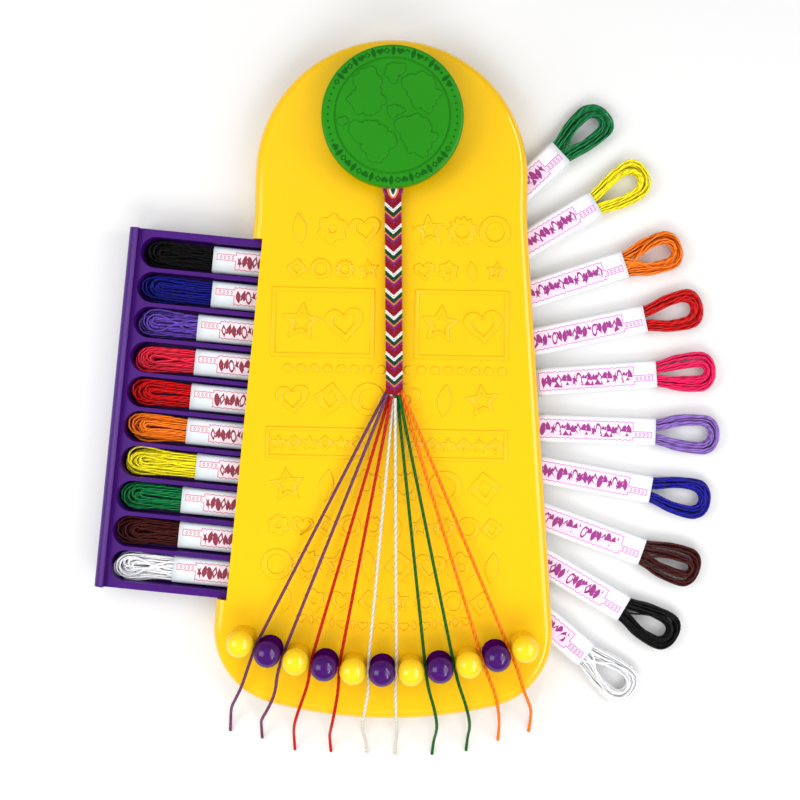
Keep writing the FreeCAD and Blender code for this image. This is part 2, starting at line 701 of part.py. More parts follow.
# ------------------------------------------------------------------ case
def build_case_top(doc, sizes):
    body = new_body(doc, "case_top")
    plan = Drawing(body, "case_plan")
    plan.board_outline(sizes, 0)
    pad(plan, sizes.case_height)
    round_edges(body, sizes.edge_round, lambda edge: lies_at(edge, sizes.case_height))

    room = Drawing(body, "case_room")
    room.board_outline(sizes, sizes.case_wall)
    cut(room, sizes.under_deck(), along_normal=True)

    bosses = Drawing(body, "screw_bosses", at=(0, 0, sizes.floor_thick))
    for x, y in sizes.bosses():
        bosses.circle(x, y, sizes.boss_radius)
    pad(bosses, sizes.under_deck() - sizes.floor_thick + sizes.peg_root)
    threads = Drawing(body, "screw_holes", at=(0, 0, sizes.floor_thick))
    for x, y in sizes.bosses():
        threads.circle(x, y, sizes.screw_radius + sizes.screw_gap)
    cut(threads, sizes.screw_reach + sizes.bay_wall, along_normal=True)

    x, y = sizes.drawer_frame()
    mouth = Drawing(body, "drawer_mouth", at=(x, y, 0), turn=sizes.drawer_turn())
    half = sizes.drawer_long / 2 + sizes.slide_gap
    behind = -(sizes.bar_thick + sizes.slide_gap)
    mouth.rectangle(behind, sizes.corner_radius, -half, half)
    cut(mouth, sizes.case_height, along_normal=True)

    bay = Drawing(body, "bay_mouth")
    low, high = bay_ends(sizes)
    bay.rectangle(sizes.bay_left(), bay_reach(sizes), low, high)
    cut(bay, sizes.bay_height, along_normal=True)

    sockets = Drawing(body, "peg_sockets", at=(0, sizes.peg_centre(), sizes.case_height))
    first = sizes.peg_step() * (1 - PURPLE_PEGS)
    sockets.circle(
        sizes.peg_arc_radius * sine(first),
        -(sizes.peg_arc_radius * cosine(first)),
        sizes.spigot_radius,
    )
    hole = cut(sockets, sizes.deck_thick * 2)
    repeat_round(body, hole, sockets, PURPLE_PEGS, sizes.peg_step() * 2 * (PURPLE_PEGS - 1))

    x, y = peg_place(sizes, 1 - YELLOW_PEGS)
    half_peg = Drawing(body, "yellow_peg_half", "XZ_Plane", at=(x, y, 0))
    draw_peg(
        half_peg, sizes, sizes.deck(), sizes.spigot_radius, sizes.deck() - sizes.peg_root
    )
    peg = turn_round(half_peg, "V_Axis")
    repeat_round(body, peg, sockets, YELLOW_PEGS, sizes.peg_step() * 2 * (YELLOW_PEGS - 1))

    foot_sockets = Drawing(body, "foot_sockets", at=(0, 0, sizes.case_height))
    for side in (-1, 1):
        foot_sockets.circle(
            sizes.spigot_side * side, sizes.disc_place - sizes.spigot_back, sizes.spigot_radius
        )
    cut(foot_sockets, sizes.deck_thick * 2)


def bay_ends(sizes):
    """Y of the bay's lower and upper end."""
    return sizes.corner_place() - sizes.bay_fall, sizes.top_centre + sizes.bay_rise


def bay_reach(sizes):
    """An X beyond the case's right side."""
    return sizes.corner_side() + sizes.corner_radius * 2


def bay_corners(sizes, inset):
    """The bay's plan from above, drawn inwards from its walls by inset. Its right side stays
    inside the case wall."""
    wall = sizes.case_wall + sizes.floor_gap * 3
    top_inner = sizes.top_radius - wall
    corner_inner = sizes.corner_radius - wall
    low, high = bay_ends(sizes)
    low, high = low + inset, high - inset
    rise = high - sizes.top_centre
    drop = low - sizes.corner_place()
    left = sizes.bay_left() + inset
    slant_low = sizes.drawer_tail()[1] + sizes.bay_gap + inset / 2
    slant_side = left - sizes.bay_slant_side
    slant_high = slant_low + sizes.bay_slant_long
    return (
        (left, low),
        (sizes.corner_side() + root(corner_inner * corner_inner - drop * drop), low),
        (sizes.corner_side() + corner_inner * cosine(sizes.flare_angle),
         sizes.corner_place() + corner_inner * sine(sizes.flare_angle)),
        (top_inner, sizes.hip_place),
        (top_inner, sizes.top_centre),
        (root(top_inner * top_inner - rise * rise), high),
        (left, high),
        (slant_side, slant_high),
        (left, slant_low),
    )


def build_base_cover(doc, sizes):
    body = new_body(doc, "base_cover")
    plan = Drawing(body, "floor_plan")
    plan.board_outline(sizes, sizes.case_wall + sizes.floor_gap)
    pad(plan, sizes.floor_thick)

    block = Drawing(body, "bay_block")
    block.path(*bay_corners(sizes, as_size(0)))
    pad(block, sizes.bay_height + sizes.bay_wall)
    room = Drawing(body, "bay_room")
    corners = bay_corners(sizes, sizes.bay_wall)
    far = bay_reach(sizes)
    room.path(corners[0], (far, corners[1][1]), (far, corners[6][1]), *corners[6:])
    cut(room, sizes.bay_height, along_normal=True)

    x, y = sizes.drawer_frame()
    turn = sizes.drawer_turn()
    half = sizes.drawer_long / 2 + sizes.slide_gap
    behind = -(sizes.bar_thick + sizes.slide_gap)
    mouth = Drawing(body, "drawer_mouth", at=(x, y, 0), turn=turn)
    mouth.rectangle(behind, sizes.corner_radius, -half, half)
    cut(mouth, sizes.floor_thick, along_normal=True)

    rails = Drawing(body, "drawer_rails", at=(x, y, sizes.floor_thick / 2), turn=turn)
    tail = -(sizes.drawer_deep - sizes.bar_thick)
    rails.rectangle(tail, behind - 1, half, half + sizes.rail_thick)
    rails.rectangle(tail, behind - 1, -half - sizes.rail_thick, -half)
    pad(rails, sizes.floor_thick / 2 + sizes.rail_high)
    stops = Drawing(body, "drawer_stops", at=(x, y, sizes.floor_thick / 2), turn=turn)
    front = -sizes.stop_place
    reach = sizes.groove_deep - sizes.slide_gap
    over = sizes.rail_thick / 2
    stops.rectangle(front - sizes.stop_size, front, half - sizes.slide_gap - reach, half + over)
    stops.rectangle(front - sizes.stop_size, front, -half - over, reach + sizes.slide_gap - half)
    pad(stops, sizes.floor_thick / 2 + sizes.tray_under + sizes.groove_high - sizes.slide_gap * 2)

    shafts = Drawing(body, "screw_ways")
    for x, y in sizes.bosses():
        shafts.circle(x, y, sizes.screw_radius + sizes.screw_gap)
    cut(shafts, sizes.floor_thick, along_normal=True)
    heads = Drawing(body, "screw_seats")
    for x, y in sizes.bosses():
        heads.circle(x, y, sizes.head_radius + sizes.screw_gap * 2)
    cut(heads, sizes.head_high, along_normal=True)


def build_base_screws(doc, sizes):
    """One node for the equal screws that hold the floor: a flat head and a shank each."""
    seat = sizes.head_high.value
    head = sizes.head_radius.value
    shank = sizes.screw_radius.value
    reach = sizes.floor_thick.value - seat + sizes.screw_reach.value
    screws = []
    for x, y in ((x.value, y.value) for x, y in sizes.bosses()):
        low = Part.makeCylinder(head, seat * 0.9, Vector(x, y, seat * 0.1))
        high = Part.makeCylinder(shank, reach, Vector(x, y, seat))
        screws.append(low.fuse(high).removeSplitter().Solids[0])
    item = doc.addObject("Part::Feature", "base_screws")
    item.Label = "base_screws"
    item.Shape = Part.makeCompound(screws)


# ------------------------------------------------------------------ drawer
def build_drawer_tray(doc, sizes):
    body = new_body(doc, "drawer_tray")
    half = sizes.drawer_long / 2
    low = sizes.floor_thick + sizes.tray_under
    high = sizes.under_deck() - sizes.tray_over
    tray = Drawing(body, "tray_plan", at=(0, 0, low))
    tray.rectangle(-sizes.drawer_deep, -sizes.bar_thick / 2, -half, half)
    pad(tray, high - low)
    front = Drawing(body, "front_bar", at=(0, 0, sizes.slide_gap))
    front.rectangle(-sizes.bar_thick, 0, -half, half)
    pad(front, sizes.case_height - sizes.slide_gap)
    round_edges(
        body,
        sizes.edge_round,
        lambda edge: lies_at(edge, sizes.case_height) and edge.CenterOfMass.x > -TINY,
    )

    end = sizes.pocket_width() / 2
    first = -(sizes.pocket_pitch() * (POCKETS - 1) / 2)
    pocket = Drawing(body, "skein_pocket", at=(0, 0, high))
    pocket.slot(-(sizes.drawer_deep - sizes.pocket_tail - end), -(sizes.pocket_margin + end),
                first, end)
    hollow = cut(pocket, high - sizes.pocket_bottom())
    repeat_along(pocket, hollow, "V_Axis", POCKETS, sizes.pocket_pitch() * (POCKETS - 1))

    grooves = Drawing(body, "stop_grooves", at=(0, 0, low))
    travel = sizes.drawer_open + sizes.drawer_more
    tail = -(sizes.stop_place + sizes.stop_size + travel + sizes.stop_gap)
    near = -(sizes.stop_place - sizes.slide_gap)
    deep = sizes.groove_deep
    grooves.rectangle(tail, near, half - deep, half + deep)
    grooves.rectangle(tail, near, -half - deep, deep - half)
    cut(grooves, sizes.groove_high, along_normal=True)
    x, y = sizes.drawer_frame()
    place(
        body,
        x - sizes.drawer_open * cosine(sizes.flare_angle),
        y + sizes.drawer_open * sine(sizes.flare_angle),
        0,
        sizes.drawer_turn(),
    )


# ------------------------------------------------------------------ clip
def build_clip_base(doc, sizes):
    body = new_body(doc, "clip_base")
    deck = sizes.deck()
    foot = Drawing(body, "foot_plan", at=(0, 0, deck))
    foot.circle(0, sizes.disc_place, sizes.foot_radius)
    pad(foot, sizes.foot_thick)
    tongue = Drawing(body, "tongue_plan", at=(0, 0, deck))
    tongue.rectangle(-sizes.jaw_half, sizes.jaw_half, sizes.jaw_front(), sizes.disc_place)
    pad(tongue, sizes.foot_thick)
    jaw = Drawing(body, "lower_jaw", at=(0, 0, deck))
    jaw.rectangle(
        -sizes.jaw_half, sizes.jaw_half, sizes.jaw_front(), sizes.jaw_front() + sizes.jaw_long
    )
    pad(jaw, sizes.band_high - sizes.soft_gap)

    ear_in = sizes.lid_ear_in + sizes.lid_ear_thick + sizes.ear_gap
    ear = Drawing(body, "foot_ear", "YZ_Plane", at=(ear_in, 0, 0))
    side = sizes.ear_radius
    y, z = sizes.pivot_y(), sizes.pivot_z()
    low = deck + sizes.foot_thick / 2
    ear.path((y - side, low), (y + side, low), (y + side, z), (y - side, z, side, 1))
    one = pad(ear, sizes.foot_ear_thick)
    mirror_sideways(body, [one])
    reach = ear_in + sizes.foot_ear_thick + 1
    bore = Drawing(body, "pin_bore", "YZ_Plane", at=(-reach, 0, 0))
    bore.circle(y, z, sizes.pin_radius + sizes.plug_gap)
    cut(bore, reach * 2, along_normal=True)

    plugs = Drawing(body, "foot_plugs", at=(0, 0, sizes.under_deck() - sizes.spigot_more))
    for way in (-1, 1):
        plugs.circle(
            sizes.spigot_side * way,
            sizes.disc_place - sizes.spigot_back,
            sizes.spigot_radius - sizes.plug_gap,
        )
    pad(plugs, sizes.deck_thick + sizes.spigot_more + sizes.foot_thick / 2)


def build_clip_lid(doc, sizes):
    body = new_body(doc, "clip_lid")
    top, under = sizes.disc_top(), sizes.disc_under()
    disc = Drawing(body, "disc_half", "XZ_Plane", at=(0, sizes.disc_place, 0))
    rim = sizes.disc_radius
    ring_in = sizes.ring_place - sizes.ring_width / 2
    ring_out = sizes.ring_place + sizes.ring_width / 2
    disc.path(
        (0, under),
        (rim - sizes.skirt_thick, under),
        (rim - sizes.skirt_thick, top - sizes.skirt_deep),
        (rim, top - sizes.skirt_deep),
        (rim, top - sizes.disc_round),
        (rim - sizes.disc_round, top, sizes.disc_round, 1),
        (ring_out, top),
        (ring_out, top - sizes.ring_deep),
        (ring_in, top - sizes.ring_deep),
        (ring_in, top),
        (0, top),
    )
    turn_round(disc, "V_Axis")

    ear = Drawing(body, "lid_ear", "YZ_Plane", at=(sizes.lid_ear_in, 0, 0))
    side = sizes.ear_radius
    y, z = sizes.pivot_y(), sizes.pivot_z()
    high = under + sizes.disc_thick / 2
    ear.path((y + side, high), (y - side, high), (y - side, z), (y + side, z, side, 1))
    one = pad(ear, sizes.lid_ear_thick)
    mirror_sideways(body, [one])
    reach = sizes.lid_ear_in + sizes.lid_ear_thick + 1
    bore = Drawing(body, "lid_bore", "YZ_Plane", at=(-reach, 0, 0))
    bore.circle(y, z, sizes.pin_radius + sizes.pin_gap)
    cut(bore, reach * 2, along_normal=True)

    jaw_low = sizes.band_top() + sizes.soft_gap + sizes.pad_thick
    front = sizes.jaw_front() + sizes.soft_gap
    jaw = Drawing(body, "upper_jaw", at=(0, 0, jaw_low))
    jaw.rectangle(-sizes.jaw_half, sizes.jaw_half, front, front + sizes.jaw_long)
    pad(jaw, high - jaw_low)
    rest_low = z + sizes.spring_bend + sizes.soft_gap
    rest = Drawing(body, "spring_rest", at=(0, 0, rest_low))
    side = sizes.spring_width / 2
    far = y + sizes.spring_leg
    rest.rectangle(-side, side, far - sizes.skirt_thick * 2, far - sizes.skirt_thick / 2)
    pad(rest, high - rest_low)


def build_clip_pad(doc, sizes):
    item = doc.addObject("Part::Box", "clip_pad")
    item.Label = "clip_pad"
    item.setExpression("Length", (sizes.jaw_half * 2).formula)
    item.setExpression("Width", sizes.jaw_long.formula)
    item.setExpression("Height", sizes.pad_thick.formula)
    place(
        item,
        -sizes.jaw_half,
        sizes.jaw_front() + sizes.soft_gap,
        sizes.band_top() + sizes.soft_gap,
    )


def build_clip_pin(doc, sizes):
    body = new_body(doc, "clip_pin")
    reach = sizes.lid_ear_in + sizes.lid_ear_thick + sizes.ear_gap + sizes.foot_ear_thick
    half = Drawing(body, "pin_half", "XZ_Plane", at=(0, sizes.pivot_y(), sizes.pivot_z()))
    tip = -(reach + sizes.pin_head_thick / 2)
    half.path(
        (tip, 0),
        (reach + sizes.pin_head_thick, 0),
        (reach + sizes.pin_head_thick, sizes.pin_head),
        (reach, sizes.pin_head),
        (reach, sizes.pin_radius),
        (tip, sizes.pin_radius),
    )
    turn_round(half, "H_Axis")


def build_clip_spring(doc, sizes):
    """A hairpin of strip steel bent round the pin, one leg over the foot and one under the
    disc, both towards the disc's upper rim, so that the spring holds the jaws shut."""
    body = new_body(doc, "clip_spring")
    y, z = sizes.pivot_y(), sizes.pivot_z()
    outer = sizes.spring_bend
    inner = outer - sizes.spring_thick
    tip = y + sizes.spring_leg
    strip = Drawing(body, "spring_strip", "YZ_Plane", at=(-(sizes.spring_width / 2), 0, 0))
    strip.path(
        (tip, z - outer),
        (tip, z - inner),
        (y, z - inner),
        (y, z + inner, inner, -1),
        (tip, z + inner),
        (tip, z + outer),
        (y, z + outer),
        (y, z - outer, outer, 1),
    )
    pad(strip, sizes.spring_width)


# ------------------------------------------------------------------ bracelet and threads
def build_bracelet(doc, sizes):
    body = new_body(doc, "bracelet_band")
    half = sizes.band_width / 2
    band = Drawing(body, "band_plan", at=(0, 0, sizes.band_low()))
    band.path(
        (-half, sizes.band_start),
        (-half, -sizes.band_shoulder),
        (0, -sizes.band_apex),
        (half, -sizes.band_shoulder),
        (half, sizes.band_start),
    )
    pad(band, sizes.band_thick)
    knot_low = sizes.band_low() - (sizes.knot_thick - sizes.band_thick) / 2
    knot = Drawing(body, "knot_plan", at=(0, 0, knot_low))
    knot.circle(0, sizes.band_start + sizes.knot_radius / 2, sizes.knot_radius)
    pad(knot, sizes.knot_thick)
    place(body, sizes.band_side, 0, 0, sizes.band_lean)


def cord_tube(name, points, radius):
    """A round cord through corner points: straight runs joined by tangent arcs."""
    edges = []
    here = points[0]
    radii = []
    for before, corner, after in zip(points, points[1:], points[2:]):
        arrive = (corner - before).normalize()
        leave = (after - corner).normalize()
        half_turn = arrive.getAngle(leave) / 2
        reach = ARC_SHARE * min((corner - before).Length, (after - corner).Length)
        bend = reach / math.tan(half_turn)
        radii.append(bend)
        first = corner - arrive * reach
        last = corner + leave * reach
        inward = (leave - arrive).normalize()
        middle = corner + inward * (bend / math.cos(half_turn) - bend)
        edges.append(Part.LineSegment(here, first).toShape())
        edges.append(Part.Arc(first, middle, last).toShape())
        here = last
    edges.append(Part.LineSegment(here, points[-1]).toShape())
    path = Part.Wire(edges)
    section = Part.Wire(
        Part.makeCircle(radius, points[0], (points[1] - points[0]).normalize())
    )
    tube = path.makePipeShell([section], True, True)
    expected = math.pi * radius**2 * path.Length
    print(f"{name}: length {path.Length:.1f}, radii {min(radii):.1f} to {max(radii):.1f}, "
          f"volume {tube.Volume:.1f} of {expected:.1f}")
    if abs(tube.Volume - expected) > 0.02 * expected:
        raise RuntimeError(f"{name} has the wrong volume")
    return tube


def thread_points(sizes, number, tail):
    """The route of a thread: out of the pointed end of the bracelet, tight to the gap between
    two pegs, over the lower edge and down to the table."""
    middle = (len(THREAD_TAILS) - 1) / 2
    x, y = (part.value for part in peg_place(sizes, number - middle))
    top = (sizes.deck() + sizes.thread_high).value
    unit = sizes.peg_inset.value
    route = [Vector(x, y, top)]
    route += [Vector(x + unit * side, y - unit * down, top * left) for side, down, left in tail]

    half = sizes.band_width.value / 2
    side = half * (number - middle) / (middle + 0.5)
    fall = sizes.band_apex.value - sizes.band_shoulder.value
    mouth = Vector(
        side,
        abs(side) / half * fall - sizes.band_apex.value,
        sizes.band_low().value + THREAD_LAYERS[number % 2] * sizes.band_thick.value,
    )
    lean = Rotation(Vector(0, 0, 1), sizes.band_lean.value)
    mouth = Placement(Vector(sizes.band_side.value, 0, 0), lean).multVec(mouth)
    out = (route[0] - mouth).normalize() * sizes.thread_out.value
    return [mouth + out, *route]


def build_threads(doc, sizes):
    for number, tail in enumerate(THREAD_TAILS):
        name = f"strand_{number + 1:02d}"
        item = doc.addObject("Part::Feature", name)
        item.Label = name
        points = thread_points(sizes, number, tail)
        item.Shape = cord_tube(name, points, sizes.thread_radius.value)


# ------------------------------------------------------------------ skeins
def build_skein(doc, name, sizes, loop_half, with_eye):
    """A skein lying along its own X axis, its sleeve's mouth at the origin."""
    body = new_body(doc, name)
    half = sizes.skein_width() / 2
    tail = -(sizes.sleeve_long + sizes.skein_tail)
    turn = sizes.loop_long - loop_half
    plan = Drawing(body, f"{name}_plan")
    plan.path(
        (tail, -half),
        (0, -half),
        (sizes.loop_spread, -loop_half),
        (turn, -loop_half),
        (turn, loop_half, loop_half, 1),
        (sizes.loop_spread, loop_half),
        (0, half),
        (tail, half),
    )
    pad(plan, sizes.skein_thick)
    high = sizes.skein_thick
    round_edges(
        body,
        sizes.skein_chamfer,
        lambda edge: (lies_at(edge, as_size(0)) or lies_at(edge, high)),
        "Chamfer",
    )
    if with_eye:
        eye = Drawing(body, f"{name}_eye")
        eye.slot(sizes.eye_start, sizes.eye_end, 0, sizes.eye_half)
        cut(eye, high, along_normal=True)
    return body


def skein_height(sizes):
    """A skein's underside above what its sleeve lies on."""
    return sizes.sleeve_wall + sizes.sleeve_gap + 0.05


def sleeve_solid(sizes):
    """A flat paper tube with slanted corners along -X, its mouth at the origin."""
    gap = sizes.sleeve_gap.value
    wall = sizes.sleeve_wall.value
    long = sizes.sleeve_long.value

    def section(grow):
        side = sizes.skein_width().value / 2 + grow
        high = sizes.skein_thick.value / 2 + grow
        cut_off = sizes.skein_chamfer.value + grow * 0.5
        corners = []
        for across, up in ((1, 1), (-1, 1), (-1, -1), (1, -1)):
            near = Vector(0, across * side, up * (high - cut_off))
            far = Vector(0, across * (side - cut_off), up * high)
            corners += [near, far] if across * up > 0 else [far, near]
        face = Part.Face(Part.makePolygon(corners + corners[:1]))
        return face.extrude(Vector(-long, 0, 0))

    tube = section(gap + wall).cut(section(gap))
    tube.translate(Vector(0, 0, sizes.skein_thick.value / 2 + skein_height(sizes).value))
    return tube.Solids[0]


def build_sleeves(doc, name, sizes, places):
    """One node for a set of equal sleeves, each a solid of its own."""
    item = doc.addObject("Part::Feature", name)
    item.Label = name
    sleeves = []
    for spot in places:
        sleeve = sleeve_solid(sizes)
        sleeve.Placement = spot.multiply(sleeve.Placement)
        sleeves.append(sleeve)
    item.Shape = Part.makeCompound(sleeves)


def build_loose_skeins(doc, sizes):
    places = []
    for colour, right, up, angle in LOOSE_SKEINS:
        x = (sizes.bay_left() + sizes.sleeve_long * right).value
        y = (sizes.sleeve_long * up).value
        name = f"loose_skein_{colour}"
        body = build_skein(doc, name, sizes, sizes.loop_half, True)
        place(body, x, y, skein_height(sizes), angle)
        places.append(Placement(Vector(x, y, 0), Rotation(Vector(0, 0, 1), angle)))
    build_sleeves(doc, "loose_sleeves", sizes, places)


def build_drawer_skeins(doc, sizes):
    places = []
    face_x, face_y = sizes.drawer_frame()
    turn = sizes.drawer_turn()
    out = sizes.drawer_open - sizes.pocket_margin - sizes.soft_gap - sizes.loop_long
    lift = sizes.pocket_bottom()
    for number, colour in enumerate(DRAWER_COLOURS):
        across = sizes.pocket_pitch() * (number - (POCKETS - 1) / 2)
        x = face_x + out * cosine(turn) - across * sine(turn)
        y = face_y + out * sine(turn) + across * cosine(turn)
        name = f"drawer_skein_{colour}"
        packed = sizes.pocket_width() / 2 - sizes.packed_room
        body = build_skein(doc, name, sizes, packed, False)
        place(body, x, y, lift + skein_height(sizes), turn)
        places.append(
            Placement(Vector(x.value, y.value, lift.value), Rotation(Vector(0, 0, 1), turn.value))
        )
    build_sleeves(doc, "drawer_sleeves", sizes, places)


# ------------------------------------------------------------------ checks and files
def sub_parts(doc):
    """Every object that stands for a piece of its own."""
    wanted = ("PartDesign::Body", "Part::Feature", "Part::Box")
    return [item for item in doc.Objects if item.TypeId in wanted]


def check(doc):
    for item in doc.Objects:
        if "Invalid" in item.State or "Error" in item.State:
            raise RuntimeError(f"{item.Label} is {item.State}")
    for item in sub_parts(doc):
        if item.Shape.isNull() or not item.Shape.isValid():
            raise RuntimeError(f"{item.Label} has no valid shape")


def write(doc):
    os.makedirs("parts", exist_ok=True)
    for item in sub_parts(doc):
        item.Shape.exportStep(f"parts/{item.Label}.step")
        solids = len(item.Shape.Solids)
        print(f"{item.Label}: {solids} solid(s), {item.Shape.Volume / 1000:.2f} cm3")


def main():
    doc = FreeCAD.newDocument("braiding_board")
    sizes = Sizes(doc)
    build_case_top(doc, sizes)
    build_base_cover(doc, sizes)
    build_base_screws(doc, sizes)
    build_purple_pegs(doc, sizes)
    build_clip_base(doc, sizes)
    build_clip_lid(doc, sizes)
    build_clip_pad(doc, sizes)
    build_clip_pin(doc, sizes)
    build_clip_spring(doc, sizes)
    build_drawer_tray(doc, sizes)
    build_drawer_skeins(doc, sizes)
    build_loose_skeins(doc, sizes)
    build_bracelet(doc, sizes)
    build_threads(doc, sizes)
    doc.recompute()
    check(doc)
    write(doc)


main()
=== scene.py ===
"""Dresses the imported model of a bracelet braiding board: finishes, threads, skeins and relief."""

import json
import logging
import math
import random
from dataclasses import dataclass
from enum import Enum
from typing import Iterable, Sequence

import bmesh
import bpy
from mathutils import Matrix, Vector

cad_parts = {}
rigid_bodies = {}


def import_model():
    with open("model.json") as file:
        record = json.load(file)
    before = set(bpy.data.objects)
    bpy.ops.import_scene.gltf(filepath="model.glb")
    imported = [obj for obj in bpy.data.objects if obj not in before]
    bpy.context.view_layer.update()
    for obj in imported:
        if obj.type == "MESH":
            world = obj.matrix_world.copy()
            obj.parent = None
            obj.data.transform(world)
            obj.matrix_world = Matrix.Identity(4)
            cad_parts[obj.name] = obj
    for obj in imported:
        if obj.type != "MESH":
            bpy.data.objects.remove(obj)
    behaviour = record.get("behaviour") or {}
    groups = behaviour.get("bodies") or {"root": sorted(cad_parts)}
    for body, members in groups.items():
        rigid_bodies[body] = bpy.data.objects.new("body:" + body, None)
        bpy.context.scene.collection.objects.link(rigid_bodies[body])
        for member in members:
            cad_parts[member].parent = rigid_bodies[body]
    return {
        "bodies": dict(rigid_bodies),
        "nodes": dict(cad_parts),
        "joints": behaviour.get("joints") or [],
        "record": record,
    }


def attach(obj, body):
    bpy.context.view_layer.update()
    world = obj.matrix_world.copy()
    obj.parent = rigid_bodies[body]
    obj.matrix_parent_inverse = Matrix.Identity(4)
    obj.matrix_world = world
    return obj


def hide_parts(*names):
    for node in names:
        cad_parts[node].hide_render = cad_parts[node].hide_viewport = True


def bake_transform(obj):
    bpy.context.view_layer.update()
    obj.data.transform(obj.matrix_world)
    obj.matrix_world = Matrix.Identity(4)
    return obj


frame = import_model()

log = logging.getLogger("braiding_board")

MM = 0.001
BOARD = "board"
CLIP_LID = "clip_lid"
DRAWER = "drawer"

Pair = tuple[float, float]
Outline = list[Pair]
Spot = tuple[float, float, float]
Colour = tuple[float, float, float, float]
Socket = bpy.types.NodeSocket


class Hue(Enum):
    """Colours of the object, as red, green and blue from 0 to 255."""

    YELLOW_PLASTIC = (243, 192, 10)
    # Paler yellow for the pegs' tips: a painted glow standing in for light through the plastic.
    YELLOW_TIPS = (250, 208, 28)
    GREEN_PLASTIC = (32, 132, 15)
    # Darker green for the marks round the clip's rim: painted shade on the lettering there.
    GREEN_SHADE = (12, 88, 12)
    PURPLE_PLASTIC = (66, 8, 100)
    DRAWER_PLASTIC = (65, 8, 112)
    ZINC = (176, 176, 180)
    RUBBER = (46, 46, 46)
    PAPER = (236, 238, 243)
    # Paper darkened as painted shade, for the sleeves inside the drawer.
    PAPER_SHADE = (222, 229, 231)
    INK_MAGENTA = (150, 34, 128)
    RIM_LILAC = (206, 122, 198)
    HALO_LILAC = (238, 214, 238)
    INK_CRIMSON = (136, 44, 66)
    RIM_PINK = (212, 128, 146)
    HALO_PINK = (240, 220, 226)
    TABLE = (229, 229, 229)
    FLOSS_BLACK = (1, 1, 2)
    FLOSS_NAVY = (14, 16, 112)
    FLOSS_VIOLET = (92, 62, 158)
    FLOSS_ROSE = (214, 34, 60)
    FLOSS_RED = (186, 8, 12)
    FLOSS_ORANGE = (242, 116, 22)
    FLOSS_YELLOW = (246, 220, 26)
    FLOSS_GREEN = (12, 108, 56)
    FLOSS_BROWN = (62, 16, 14)
    FLOSS_WHITE = (240, 241, 244)
    FLOSS_PINK = (230, 20, 86)
    FLOSS_LAVENDER = (130, 98, 176)
    FLOSS_BLUE = (16, 14, 132)
    THREAD_VIOLET = (104, 52, 88)
    THREAD_RED = (178, 18, 3)
    THREAD_WHITE = (210, 206, 188)
    THREAD_GREEN = (10, 84, 18)
    THREAD_ORANGE = (240, 116, 6)
    KNOT_CRIMSON = (160, 12, 44)
    KNOT_VIOLET = (150, 48, 140)
    KNOT_ORANGE = (252, 138, 80)
    KNOT_GREEN = (0, 78, 54)
    KNOT_WHITE = (255, 255, 255)

    def linear(self, scale: float = 1.0) -> Colour:
        """The colour in linear light, by the usual curve of screens.

        Args:
            scale: brightness against the plain colour.

        Returns:
            Red, green, blue and alpha.
        """
        parts = (c / 255 for c in self.value)
        light = (c / 12.92 if c < 0.04045 else ((c + 0.055) / 1.055) ** 2.4 for c in parts)
        return (*(min(1.0, c * scale) for c in light), 1.0)

    def tones(self, *steps: Pair) -> list[tuple[float, Colour]]:
        """Stops of a colour band, from places in it and the brightness there."""
        return [(place, self.linear(scale)) for place, scale in steps]


